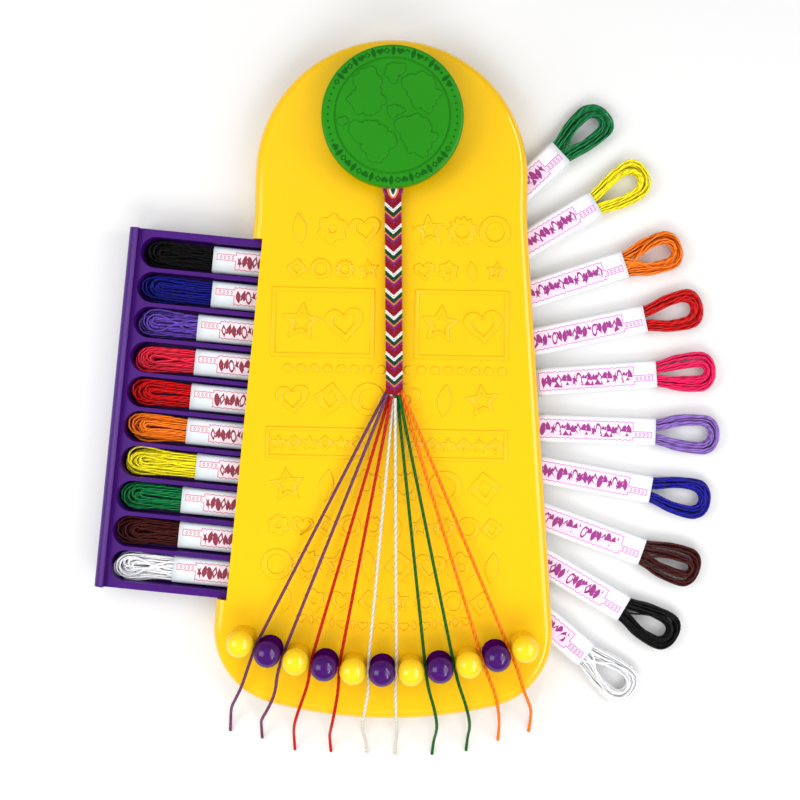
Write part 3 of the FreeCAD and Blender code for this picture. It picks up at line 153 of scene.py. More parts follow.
# ---------------------------------------------------------------- finishes
class Wiring:
    """The nodes of one material."""

    def __init__(self, name: str) -> None:
        """Starts a material with one shader.

        Args:
            name: the material's name.
        """
        self.material = bpy.data.materials.new(name)
        self.material.use_nodes = True
        self.tree = self.material.node_tree
        self.tree.nodes.clear()
        self.shader = self.node("ShaderNodeBsdfPrincipled")
        output = self.node("ShaderNodeOutputMaterial")
        self.join(self.shader.outputs["BSDF"], output.inputs["Surface"])

    def node(self, kind: str, operation: str = "", **numbers: object) -> bpy.types.Node:
        """A new node.

        Args:
            kind: Blender's name of the node.
            operation: what it does, where it has a choice.
            numbers: its sockets' values, with underscores for spaces in their names.

        Returns:
            The node.
        """
        made = self.tree.nodes.new(kind)
        if operation:
            made.operation = operation
        for key, value in numbers.items():
            made.inputs[key.replace("_", " ")].default_value = value
        return made

    def join(self, source: Socket, target: Socket) -> None:
        """Links one socket to another."""
        self.tree.links.new(source, target)

    def place(self, kind: str = "Object") -> Socket:
        """The texture coordinate of that kind."""
        return self.node("ShaderNodeTexCoord").outputs[kind]

    def split(self, vector: Socket) -> bpy.types.bpy_prop_collection:
        """The X, Y and Z of a vector.

        Args:
            vector: the socket to split.

        Returns:
            The three sockets by name.
        """
        parts = self.node("ShaderNodeSeparateXYZ")
        self.join(vector, parts.inputs[0])
        return parts.outputs

    def noise(self, scale: float, detail: float, stretch: Spot = (1.0, 1.0, 1.0)) -> Socket:
        """Cloudy noise from 0 to 1 in the object's own place.

        Args:
            scale: how many spots to the metre.
            detail: how many finer layers it has.
            stretch: scale along each axis.

        Returns:
            The value's socket.
        """
        moved = self.node("ShaderNodeMapping", Scale=stretch)
        self.join(self.place(), moved.inputs["Vector"])
        cloud = self.node("ShaderNodeTexNoise", Scale=scale, Detail=detail)
        self.join(moved.outputs[0], cloud.inputs["Vector"])
        return cloud.outputs["Fac"]

    def maths(self, operation: str, first: Socket | float, second: Socket | float = 0.0) -> Socket:
        """One step of arithmetic.

        Args:
            operation: Blender's name of the step.
            first: a socket or a number.
            second: a socket or a number.

        Returns:
            The result's socket.
        """
        step = self.node("ShaderNodeMath", operation)
        for socket, value in zip(step.inputs, (first, second)):
            if isinstance(value, Socket):
                self.join(value, socket)
            else:
                socket.default_value = value
        return step.outputs[0]

    def spread(self, value: Socket, low: float, high: float, start: float = 0.0,
               end: float = 1.0) -> Socket:
        """Spreads a value's range over another one.

        Args:
            value: the socket to spread.
            low: the result at the start of its range.
            high: the result at the end.
            start: where its range starts.
            end: where its range ends.

        Returns:
            The result's socket.
        """
        step = self.node("ShaderNodeMapRange", From_Min=start, From_Max=end, To_Min=low,
                         To_Max=high)
        self.join(value, step.inputs["Value"])
        return step.outputs["Result"]

    def colours(self, value: Socket, stops: Sequence[tuple[float, Colour]]) -> None:
        """Colours the shader by a value.

        Args:
            value: the socket that picks the colour.
            stops: places from 0 to 1 with the colour there.
        """
        ramp = self.node("ShaderNodeValToRGB")
        band = ramp.color_ramp
        band.elements[0].position, band.elements[0].color = stops[0]
        band.elements[1].position, band.elements[1].color = stops[-1]
        for place, colour in stops[1:-1]:
            band.elements.new(place).color = colour
        self.join(value, ramp.inputs["Fac"])
        self.join(ramp.outputs["Color"], self.shader.inputs["Base Color"])

    def roughen(self, value: Socket, low: float, high: float) -> None:
        """Spreads a value from 0 to 1 over a range of roughness."""
        self.join(self.spread(value, low, high), self.shader.inputs["Roughness"])

    def relief(self, height: Socket, depth: float, strength: float) -> None:
        """Bumps the surface.

        Args:
            height: the socket with the height from 0 to 1.
            depth: the height of a full bump, in metres.
            strength: share of the bump that shows.
        """
        bump = self.node("ShaderNodeBump", Strength=strength, Distance=depth)
        self.join(height, bump.inputs["Height"])
        self.join(bump.outputs["Normal"], self.shader.inputs["Normal"])

    def set(self, **values: float) -> None:
        """Sets the shader's own sockets, with underscores for spaces in their names."""
        for key, value in values.items():
            self.shader.inputs[key.replace("_", " ")].default_value = value


@dataclass(frozen=True)
class MouldedPlastic:
    """Glossy moulded plastic with a slightly uneven skin.

    It is matt below a height if one is set, and above another height it can turn paler towards a
    second hue: a painted glow standing in for light through the plastic at its tips.
    """

    name: str
    hue: Hue
    gloss: float = 0.2
    unevenness: float = 0.05
    shine: float = 0.45
    matt_below: float = 0.0
    matt_fade: float = 3.0 * MM
    tips: Hue | None = None
    glow_above: float = 23.0 * MM
    glow_fade: float = 8.0 * MM

    def make(self) -> bpy.types.Material:
        """Builds the material."""
        w = Wiring(self.name)
        height = w.split(w.place())["Z"]
        tone = w.maths("MULTIPLY", w.noise(22.0, 3.0), 0.5)
        # Painted glow: high up, the colour turns paler towards a second hue, standing in for light
        # through the plastic.
        if self.tips:
            glow_lift = w.spread(height, 0.0, 0.5, self.glow_above, self.glow_above + self.glow_fade)
            tone = w.maths("ADD", tone, glow_lift)
        dull, bright = 1.0 - self.unevenness, 1.0 + self.unevenness
        w.colours(tone, self.hue.tones((0.125, dull), (0.375, bright))
                  + (self.tips or self.hue).tones((0.7, bright)))
        w.roughen(w.noise(160.0, 4.0), self.gloss - 0.04, self.gloss + 0.06)
        w.relief(w.noise(2600.0, 2.0), 0.006 * MM, 0.35)
        w.set(IOR=1.49, Specular_IOR_Level=self.shine)
        if self.matt_below:
            shine = w.spread(height, 0.0, self.shine, self.matt_below,
                             self.matt_below + self.matt_fade)
            w.join(shine, w.shader.inputs["Specular IOR Level"])
        return w.material


@dataclass(frozen=True)
class Floss:
    """Twisted cotton thread: the grooves between the plies darkened as painted shade, their crests
    lightened as painted highlight, and a soft sheen.

    The twist follows the thread's own length where turns is set, and otherwise the way down
    the board, where the working threads run.
    """

    name: str
    hue: Hue
    turns: float = 0.0
    lead: float = 2.6 * MM
    plies: int = 2
    depth: float = 0.2 * MM
    contrast: float = 1.0

    def make(self) -> bpy.types.Material:
        """Builds the material."""
        w = Wiring(self.name)
        around = w.split(w.place("UV"))
        if self.turns:
            along = w.maths("MULTIPLY", around["X"], self.turns)
        else:
            where = w.split(w.place())
            along = w.maths("DIVIDE", w.maths("ADD", where["Y"], where["Z"]), self.lead)
        wound = w.maths("ADD", along, w.maths("MULTIPLY", around["Y"], self.plies))
        wave = w.maths("SINE", w.maths("MULTIPLY", wound, math.tau))
        ply = w.spread(wave, 0.0, 1.0, -1.0)
        fibres = w.noise(5200.0, 3.0)
        streaks = w.noise(380.0, 2.0)
        height = w.maths("ADD", w.maths("MULTIPLY", ply, 0.8), w.maths("MULTIPLY", fibres, 0.35))
        fine = w.maths("ADD", w.maths("MULTIPLY", ply, 0.5), w.maths("MULTIPLY", fibres, 0.2))
        tone = w.maths("ADD", fine, w.maths("MULTIPLY", streaks, 0.3))
        lightness = sum(self.hue.value) / (3 * 255)
        # Painted shade in the grooves and painted highlight on the crests, brighter hues getting
        # less of both.
        groove = 1.0 - self.contrast * (0.66 - 0.44 * lightness)
        painted_crest_highlight = 1.0 + self.contrast * (0.9 - 0.75 * lightness)
        w.colours(tone, self.hue.tones((0.2, groove), (0.46, 1.0), (0.76, painted_crest_highlight)))
        w.roughen(fibres, 0.42, 0.62)
        w.relief(height, self.depth, 0.8)
        w.set(Sheen_Weight=0.03, Sheen_Roughness=0.4, Specular_IOR_Level=0.18)
        return w.material


@dataclass(frozen=True)
class KnottedFloss:
    """Floss pulled tight in a knot: fine strands across each knot."""

    name: str
    hue: Hue

    def make(self) -> bpy.types.Material:
        """Builds the material."""
        w = Wiring(self.name)
        strands = w.noise(3800.0, 2.0, (0.35, 1.0, 1.0))
        w.colours(strands, self.hue.tones((0.2, 0.6), (0.55, 1.0), (0.9, 1.15)))
        w.roughen(strands, 0.45, 0.68)
        w.relief(strands, 0.06 * MM, 0.8)
        w.set(Sheen_Weight=0.05, Sheen_Roughness=0.45, Specular_IOR_Level=0.25)
        return w.material


@dataclass(frozen=True)
class SleevePaper:
    """Smooth white paper with faint fibres and a few soft dents."""

    name: str = "sleeve_paper"
    hue: Hue = Hue.PAPER

    def make(self) -> bpy.types.Material:
        """Builds the material."""
        w = Wiring(self.name)
        fibres = w.noise(1800.0, 4.0, (1.0, 0.4, 1.0))
        dents = w.noise(140.0, 2.0)
        w.colours(w.maths("MULTIPLY", fibres, dents), self.hue.tones((0.0, 0.93), (0.5, 1.0)))
        w.roughen(fibres, 0.5, 0.65)
        w.relief(w.maths("ADD", w.maths("MULTIPLY", fibres, 0.15), dents), 0.12 * MM, 0.5)
        return w.material


@dataclass(frozen=True)
class PrintedInk:
    """Ink on paper, a little lighter where it is thin."""

    name: str
    hue: Hue

    def make(self) -> bpy.types.Material:
        """Builds the material."""
        w = Wiring(self.name)
        thin = w.noise(2200.0, 3.0)
        w.colours(thin, self.hue.tones((0.3, 0.94), (0.8, 1.12)))
        w.roughen(thin, 0.4, 0.55)
        return w.material


@dataclass(frozen=True)
class PlatedSteel:
    """Zinc-plated steel with fine marks from drawing."""

    name: str = "plated_steel"
    hue: Hue = Hue.ZINC

    def make(self) -> bpy.types.Material:
        """Builds the material."""
        w = Wiring(self.name)
        marks = w.noise(900.0, 3.0, (0.08, 1.0, 1.0))
        w.colours(marks, self.hue.tones((0.2, 0.8), (0.8, 1.1)))
        w.roughen(marks, 0.26, 0.42)
        w.relief(marks, 0.01 * MM, 0.4)
        w.set(Metallic=1.0)
        return w.material


@dataclass(frozen=True)
class GripRubber:
    """Matt black rubber."""

    name: str = "grip_rubber"
    hue: Hue = Hue.RUBBER

    def make(self) -> bpy.types.Material:
        """Builds the material."""
        w = Wiring(self.name)
        skin = w.noise(1500.0, 4.0)
        w.colours(skin, self.hue.tones((0.2, 0.8), (0.8, 1.25)))
        w.roughen(skin, 0.62, 0.8)
        w.relief(skin, 0.03 * MM, 0.6)
        return w.material


@dataclass(frozen=True)
class PaleTable:
    """The plain pale floor."""

    name: str = "pale_table"
    hue: Hue = Hue.TABLE

    def make(self) -> bpy.types.Material:
        """Builds the material."""
        w = Wiring(self.name)
        w.colours(w.noise(6.0, 2.0), self.hue.tones((0.2, 0.995), (0.8, 1.0)))
        w.set(Roughness=0.9, Specular_IOR_Level=0.0)
        return w.material


Finish = (MouldedPlastic | Floss | KnottedFloss | SleevePaper | PrintedInk | PlatedSteel
          | GripRubber | PaleTable)

# Its pegs are painted paler towards their tips: a painted glow.
YELLOW = MouldedPlastic("yellow_plastic_skin", Hue.YELLOW_PLASTIC, gloss=0.16,
                        unevenness=0.02, shine=0.5, tips=Hue.YELLOW_TIPS)
GREEN = MouldedPlastic("green_plastic_skin", Hue.GREEN_PLASTIC, gloss=0.36, shine=0.2)
# The marks' shapes stand for lettering; their darker green is painted shade.
GREEN_MARKS_PAINTED_SHADE = MouldedPlastic("green_marks", Hue.GREEN_SHADE, gloss=0.5, shine=0.15)
PURPLE = MouldedPlastic("purple_plastic_skin", Hue.PURPLE_PLASTIC, shine=0.42,
                        matt_below=34.5 * MM)
LILAC = MouldedPlastic("drawer_plastic_skin", Hue.DRAWER_PLASTIC, gloss=0.36, shine=0.32)


class Wardrobe:
    """Each finish's material, made once."""

    def __init__(self) -> None:
        """Starts empty."""
        self.made: dict[str, bpy.types.Material] = {}

    def get(self, finish: Finish) -> bpy.types.Material:
        """The finish's material."""
        if finish.name not in self.made:
            self.made[finish.name] = finish.make()
        return self.made[finish.name]

    def dress(self, finish: Finish, *nodes: str) -> None:
        """Gives CAD nodes that keep their shape a finish.

        Args:
            finish: what they are made of.
            nodes: the nodes' names.
        """
        for node in nodes:
            for socket in frame["nodes"][node].material_slots:
                socket.link = "OBJECT"
                socket.material = self.get(finish)
            log.info("%s: %s", node, finish.name)

    def piece(self, name: str, data: bpy.types.ID, body: str | None, finishes: Iterable[Finish],
              replaces: Iterable[str] = (), slot: str = "") -> bpy.types.Object:
        """A new piece of the object.

        Args:
            name: the piece's name.
            data: its mesh or curve, in the row frame.
            body: the body that it moves with, or none for a piece that is attached to no body.
            finishes: its materials in order.
            replaces: CAD nodes that it stands for.
            slot: the record's slot of its finish; it is not used.

        Returns:
            The piece.
        """
        made = bpy.data.objects.new(name, data)
        bpy.context.scene.collection.objects.link(made)
        for finish in finishes:
            data.materials.append(self.get(finish))
        if body:
            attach(made, body)
        if replaces:
            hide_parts(*replaces)
        log.info("%s rides on %s", name, body or "two bodies")
        return made


# ---------------------------------------------------------------- shapes
class Motif(Enum):
    """Plain ornaments, raised on plastic or printed on paper."""

    HEART = "heart"
    OPEN_HEART = "open heart"
    STAR = "star"
    OPEN_STAR = "open star"
    FLOWER = "flower"
    RING = "ring"
    DOT = "dot"
    DIAMOND = "diamond"
    LEAF = "leaf"
    SUN = "sun"

    def outlines(self, size: float) -> list[Outline]:
        """The motif's outline and the outlines of its holes.

        Args:
            size: half of its width.

        Returns:
            Closed lines round the middle.
        """
        lines = {
            Motif.HEART: lambda: [heart(1.0)],
            Motif.OPEN_HEART: lambda: [heart(1.0), heart(0.6)],
            Motif.STAR: lambda: [spikes(5, 1.0, 0.45)],
            Motif.OPEN_STAR: lambda: [spikes(5, 1.05, 0.5), spikes(5, 0.6, 0.28)],
            Motif.FLOWER: lambda: [petals(6, 1.0, 0.24), petals(1, 0.26, 0.0)],
            Motif.RING: lambda: [petals(1, 1.0, 0.0), petals(1, 0.62, 0.0)],
            Motif.DOT: lambda: [petals(1, 1.0, 0.0)],
            Motif.DIAMOND: lambda: [spikes(2, 1.0, 1.0), spikes(2, 0.5, 0.5)],
            Motif.LEAF: lambda: [leaf(1.0)],
            Motif.SUN: lambda: [spikes(12, 1.0, 0.72), petals(1, 0.45, 0.0)],
        }[self]()
        return [[(x * size, y * size) for x, y in line] for line in lines]


def heart(size: float) -> Outline:
    """A heart's outline.

    Args:
        size: half of its width.

    Returns:
        The closed line.
    """
    steps, first, last = 30, 2, 13
    notch, tip = 0.42, -1.0
    lobe = [
        (math.sin(t) ** 3,
         (13 * math.cos(t) - 5 * math.cos(2 * t) - 2 * math.cos(3 * t) - math.cos(4 * t)) / 16)
        for t in (math.tau * k / steps for k in range(first, last + 1))
    ]
    line = [(0.0, notch), *lobe, (0.0, tip), *((-x, y) for x, y in reversed(lobe))]
    return [(size * x, size * y) for x, y in line]


def closed_line(radii: Iterable[float]) -> Outline:
    """A closed line round the middle.

    Args:
        radii: its distance from the middle at even steps of a turn, from the top.

    Returns:
        The line.
    """
    reach = list(radii)
    turns = [math.tau * k / len(reach) for k in range(len(reach))]
    return [(r * math.sin(t), r * math.cos(t)) for r, t in zip(reach, turns)]


def spikes(count: int, outer: float, inner: float) -> Outline:
    """A star's outline.

    Args:
        count: how many points it has.
        outer: radius of the points.
        inner: radius between them.

    Returns:
        The closed line.
    """
    return closed_line((outer, inner)[k % 2] for k in range(2 * count))


def petals(count: int, size: float, wave: float) -> Outline:
    """A rosette's outline, or a circle.

    Args:
        count: how many petals it has.
        size: its largest radius.
        wave: share of the radius by which the petals dip.

    Returns:
        The closed line.
    """
    steps = max(24, count * 8)
    turns = [math.tau * k / steps for k in range(steps)]
    return closed_line(size * (1 - wave / 2 + wave / 2 * math.cos(count * t)) for t in turns)


def leaf(size: float) -> Outline:
    """A pointed leaf's outline.

    Args:
        size: half of its length.

    Returns:
        The closed line.
    """
    half, steps = 0.42 * size, 10
    shares = [k / steps * 2 - 1 for k in range(steps + 1)]
    side = [(half * math.cos(math.pi / 2 * s), size * s) for s in shares]
    return side + [(-x, y) for x, y in reversed(side[1:-1])]


def box_outline(width: float, height: float) -> Outline:
    """A rectangle round the middle.

    Args:
        width: its whole width.
        height: its whole height.

    Returns:
        The closed line.
    """
    w, h = width / 2, height / 2
    return [(-w, -h), (w, -h), (w, h), (-w, h)]


def scalloped(start: float, end: float, half: float, wave: float) -> Outline:
    """A long band with softly waved sides.

    Args:
        start: where it begins along its length.
        end: where it ends.
        half: half of its width.
        wave: height of the waves.

    Returns:
        The closed line.
    """
    stride, waviness = 0.7, 2.4
    steps = max(4, round((end - start) / stride))
    places = [start + (end - start) * k / steps for k in range(steps + 1)]
    sides = [(x, half + wave * math.sin(waviness * x)) for x in places]
    return sides + [(x, -y) for x, y in reversed(sides)]


def island(size: float, seed: int) -> Outline:
    """A ragged coast round the middle, the same for the same seed.

    Args:
        size: its mean radius.
        seed: picks the shape.

    Returns:
        The closed line.
    """
    steps, least = 120, 0.2 * size
    dice = random.Random(seed)
    waves = [(k, dice.uniform(0.5, 1.0) * 0.42 / k ** 0.85, dice.uniform(0.0, math.tau))
             for k in (1, 2, 3, 5, 8, 13, 21)]
    turns = [math.tau * k / steps for k in range(steps)]
    reach = [size * (1 + sum(a * math.cos(k * t + p) for k, a, p in waves)) for t in turns]
    return closed_line(max(r, least) for r in reach)


def placed(lines: Iterable[Outline], x: float, y: float, turn: float = 0.0) -> list[Outline]:
    """Outlines moved to a place.

    Args:
        lines: outlines round the middle.
        x: where they go, sideways.
        y: where they go, up the board.
        turn: how far they turn, in degrees.

    Returns:
        The moved outlines.
    """
    c, s = math.cos(math.radians(turn)), math.sin(math.radians(turn))
    return [[(x + px * c - py * s, y + px * s + py * c) for px, py in line] for line in lines]


def curve_mesh(curve: bpy.types.Curve, colours: Sequence[int] = ()) -> bpy.types.Mesh:
    """A curve turned into a mesh.

    Args:
        curve: the curve, which is used up.
        colours: material index of each spline, where all splines have as many points.

    Returns:
        The mesh, with the curve's name.
    """
    name = curve.name
    holder = bpy.data.objects.new(name, curve)
    bpy.context.scene.collection.objects.link(holder)
    bpy.context.view_layer.update()
    ready = holder.evaluated_get(bpy.context.evaluated_depsgraph_get())
    mesh = bpy.data.meshes.new_from_object(ready)
    bpy.data.objects.remove(holder)
    bpy.data.curves.remove(curve)
    mesh.name = name
    mesh.materials.clear()
    for number, face in enumerate(mesh.polygons):
        if colours:
            face.material_index = colours[number * len(colours) // len(mesh.polygons)]
    return mesh


def relief_mesh(name: str, lines: Iterable[Outline], top: float, height: float,
                edge: float) -> bpy.types.Mesh:
    """A mesh of raised shapes with rounded rims.

    Args:
        name: the mesh's name.
        lines: closed outlines in millimetres; one inside another is a hole.
        top: height of their upper faces, in millimetres.
        height: how thick they are.
        edge: radius of their rims.

    Returns:
        The mesh.
    """
    curve = bpy.data.curves.new(name, "CURVE")
    curve.dimensions = "2D"
    curve.fill_mode = "BOTH"
    curve.extrude = max(0.0, height / 2 - edge) * MM
    curve.bevel_depth = edge * MM
    curve.bevel_resolution = 1
    curve.offset = -edge * MM
    for line in lines:
        spline = curve.splines.new("POLY")
        spline.points.add(len(line) - 1)
        for point, (x, y) in zip(spline.points, line):
            point.co = (x * MM, y * MM, 0.0, 1.0)
        spline.use_cyclic_u = True
    mesh = curve_mesh(curve)
    mesh.transform(Matrix.Translation((0.0, 0.0, (top - height / 2) * MM)))
    return mesh


def thread_curve(name: str, diameter: float, resolution: int, sides: int) -> bpy.types.Curve:
    """An empty curve that draws round threads.

    Args:
        name: the curve's name.
        diameter: the thread's, in metres.
        resolution: steps for each of its points.
        sides: detail of its round section.

    Returns:
        The curve.
    """
    curve = bpy.data.curves.new(name, "CURVE")
    curve.dimensions = "3D"
    curve.bevel_depth = diameter / 2
    curve.bevel_resolution = sides
    curve.resolution_u = resolution
    curve.use_fill_caps = True
    return curve


def add_route(curve: bpy.types.Curve, route: Sequence[Sequence[float]]) -> None:
    """Draws one thread through its points.

    Args:
        curve: the curve that takes it.
        route: control points in metres.
    """
    spline = curve.splines.new("NURBS")
    spline.points.add(len(route) - 1)
    for point, place in zip(spline.points, route):
        point.co = (*place, 1.0)
    spline.order_u = 3
    spline.use_endpoint_u = True


def finished_mesh(name: str, shape: bmesh.types.BMesh) -> bpy.types.Mesh:
    """A mesh from its corners and faces.

    Args:
        name: the mesh's name.
        shape: the corners and faces, which are used up.

    Returns:
        The mesh, with its faces turned outwards.
    """
    bmesh.ops.recalc_face_normals(shape, faces=shape.faces)
    mesh = bpy.data.meshes.new(name)
    shape.to_mesh(mesh)
    shape.free()
    return mesh


class Assembly:
    """A group of pieces that are made together, with the wardrobe that all groups share."""

    wardrobe = Wardrobe()


# ---------------------------------------------------------------- studio
@dataclass
class Studio(Assembly):
    """The pale table, the soft lights and the camera above the board."""

    camera_at: Spot = (0.005631, -0.009069, 0.5795)
    camera_turn: float = 1.08
    lens: float = 56.31
    sensor: float = 36.0
    nearest: float = 0.01
    sky: float = 0.26
    table_size: float = 4.0

    def place_camera(self) -> None:
        """Sets the camera straight above the board."""
        data = bpy.data.cameras.new("camera")
        data.sensor_width = self.sensor
        data.lens = self.lens
        data.clip_start = self.nearest
        camera = bpy.data.objects.new("camera", data)
        camera.location = self.camera_at
        camera.rotation_euler = (0.0, 0.0, math.radians(self.camera_turn))
        bpy.context.scene.collection.objects.link(camera)
        bpy.context.scene.camera = camera

    def lamp(self, name: str, place: Spot, wide: float, tall: float, power: float,
             mirrored: bool = True, shines: bool = True) -> None:
        """Hangs a soft light that faces the board.

        Args:
            name: the light's name.
            place: where it hangs, in metres.
            wide: its width, in metres.
            tall: its height, in metres.
            power: its power in watts.
            mirrored: whether glossy pieces mirror it.
            shines: whether it gives more than its mirrored image.
        """
        data = bpy.data.lights.new(name, "AREA")
        data.shape = "RECTANGLE"
        data.size = wide
        data.size_y = tall
        data.energy = power
        light = bpy.data.objects.new(name, data)
        light.location = place
        light.visible_glossy = mirrored
        light.visible_diffuse = shines
        light.rotation_euler = Vector(place).to_track_quat("Z", "Y").to_euler()
        bpy.context.scene.collection.objects.link(light)

    def build(self) -> None:
        """Makes the table and hangs the lights."""
        mesh = bpy.data.meshes.new("table")
        corners = [(x, y, 0.0) for x, y in box_outline(self.table_size, self.table_size)]
        mesh.from_pydata(corners, [], [(0, 1, 2, 3)])
        mesh.materials.append(self.wardrobe.get(PaleTable()))
        table = bpy.data.objects.new("table", mesh)
        bpy.context.scene.collection.objects.link(table)
        world = bpy.data.worlds.new("soft_sky")
        bpy.context.scene.world = world
        world.use_nodes = True
        sky = world.node_tree.nodes["Background"]
        sky.inputs["Color"].default_value = (1.0, 1.0, 1.0, 1.0)
        sky.inputs["Strength"].default_value = self.sky
        self.lamp("left_light", (-0.52, -0.01, 0.48), wide=0.42, tall=0.5, power=2.6)
        self.lamp("right_light", (0.52, -0.02, 0.48), wide=0.42, tall=0.5, power=2.15)
        self.lamp("edge_light", (0.52, -0.02, 0.48), wide=1.1, tall=0.14, power=5.2,
                  shines=False)
        self.lamp("far_light", (-0.10, 0.50, 0.80), wide=0.7, tall=0.5, power=2.3,
                  mirrored=False)
        self.lamp("near_light", (0.05, -0.57, 0.64), wide=0.7, tall=0.4, power=4.1,
                  mirrored=False)
        scene = bpy.context.scene
        scene.view_settings.view_transform = "Standard"
        scene.view_settings.look = "None"


# ---------------------------------------------------------------- threads
@dataclass
class WorkingThreads(Assembly):
    """The ten threads from the bracelet's end over the gaps between the pegs.

    Each hue has two neighbours. The routes' numbers are tenths of a millimetre.
    """

    diameter: float = 1.4 * MM
    twist: float = 3.0 * MM
    contrast: float = 0.6
    lengths: tuple[float, ...] = (
        0.1820, 0.1799, 0.1796, 0.1765, 0.1748, 0.1748, 0.1761, 0.1771, 0.1766, 0.1772,
    )
    hues: tuple[Hue, ...] = (
        Hue.THREAD_VIOLET, Hue.THREAD_RED, Hue.THREAD_WHITE, Hue.THREAD_GREEN,
        Hue.THREAD_ORANGE,
    )
    tenths: tuple[tuple[tuple[int, int, int], ...], ...] = (
        ((-7, -58, 228), (-516, -1095, 248), (-563, -1191, 250), (-597, -1293, 247),
         (-622, -1375, 233), (-658, -1449, 180), (-686, -1505, 96), (-696, -1561, 26),
         (-699, -1634, 8)),
        ((1, -64, 242), (-408, -1141, 249), (-441, -1228, 250), (-466, -1318, 248),
         (-473, -1404, 242), (-510, -1486, 216), (-544, -1548, 136), (-553, -1598, 44),
         (-551, -1664, 8)),
        ((10, -71, 228), (-290, -1159, 248), (-317, -1256, 250), (-327, -1356, 248),
         (-359, -1450, 240), (-386, -1534, 202), (-398, -1596, 116), (-402, -1649, 34),
         (-399, -1716, 8)),
        ((18, -77, 242), (-174, -1176, 249), (-191, -1274, 250), (-192, -1373, 248),
         (-206, -1469, 238), (-222, -1553, 196), (-234, -1611, 110), (-238, -1659, 32),
         (-232, -1721, 8)),
        ((27, -83, 228), (-56, -1187, 248), (-64, -1283, 250), (-57, -1379, 248),
         (-76, -1477, 238), (-86, -1559, 194), (-80, -1617, 108), (-70, -1665, 32),
         (-66, -1725, 8)),
        ((35, -83, 242), (61, -1183, 249), (64, -1283, 250), (60, -1383, 248), (65, -1481, 238),
         (70, -1563, 194), (70, -1621, 108), (66, -1669, 32), (64, -1731, 8)),
        ((44, -76, 228), (180, -1183, 248), (191, -1274, 250), (205, -1365, 248),
         (234, -1457, 240), (250, -1539, 200), (248, -1601, 114), (240, -1655, 34),
         (235, -1725, 8)),
        ((52, -70, 242), (297, -1167, 249), (317, -1256, 250), (339, -1344, 248),
         (372, -1433, 240), (394, -1515, 204), (400, -1579, 118), (396, -1635, 36),
         (392, -1705, 8)),
        ((60, -63, 228), (414, -1145, 248), (441, -1228, 250), (471, -1310, 248),
         (504, -1388, 242), (522, -1472, 216), (532, -1534, 134), (540, -1588, 44),
         (538, -1654, 8)),
        ((68, -57, 242), (528, -1109, 249), (563, -1191, 250), (600, -1273, 246),
         (625, -1359, 230), (658, -1435, 176), (680, -1491, 94), (686, -1545, 26),
         (680, -1613, 8)),
    )

    def routes(self) -> list[list[Spot]]:
        """The threads' control points in metres."""
        return [[tuple(c / 10000 for c in spot) for spot in route] for route in self.tenths]

    def finish(self, hue: Hue) -> Floss:
        """The floss of that hue."""
        return Floss(hue.name.lower(), hue, lead=self.twist, contrast=self.contrast)

    def build(self) -> None:
        """Draws the threads."""
        for number, (route, length) in enumerate(zip(self.routes(), self.lengths)):
            hue = self.hues[number // 2]
            name = f"working_thread_{number + 1:02d}"
            curve = thread_curve(name, self.diameter, resolution=12, sides=2)
            add_route(curve, route)
            thread = self.wardrobe.piece(
                name, curve, BOARD, [self.finish(hue)], [f"strand_{number + 1:02d}"],
                hue.name.lower().replace("thread", "floss"),
            )


# ---------------------------------------------------------------- skeins
@dataclass(frozen=True)
class LoopShape:
    """The free loops of a skein, in millimetres.

    Outer is half of the widest loop's width. Reach is how far the inmost loop goes beyond the
    sleeve, and further is what each place outwards adds. Narrower, shorter and skew are how
    uneven the loops are. The spreads are the shares of its width that a loop has at its
    throat, and rise is what each row adds to its height.
    """

    outer: float
    reach: float
    further: float
    narrower: float
    shorter: float
    skew: float
    spread: float
    crossed_spread: float
    rise: float


class Fold(Enum):
    """How a skein's free loops lie: fanned out with an eye, or packed in a pocket."""

    OPEN = LoopShape(8.7, 23.2, 0.98, narrower=0.6, shorter=0.8, skew=0.5, spread=0.76,
                     crossed_spread=0.76, rise=0.8)
    PACKED = LoopShape(5.2, 19.2, 1.85, narrower=1.0, shorter=2.2, skew=0.9, spread=0.3,
                       crossed_spread=0.55, rise=0.98)


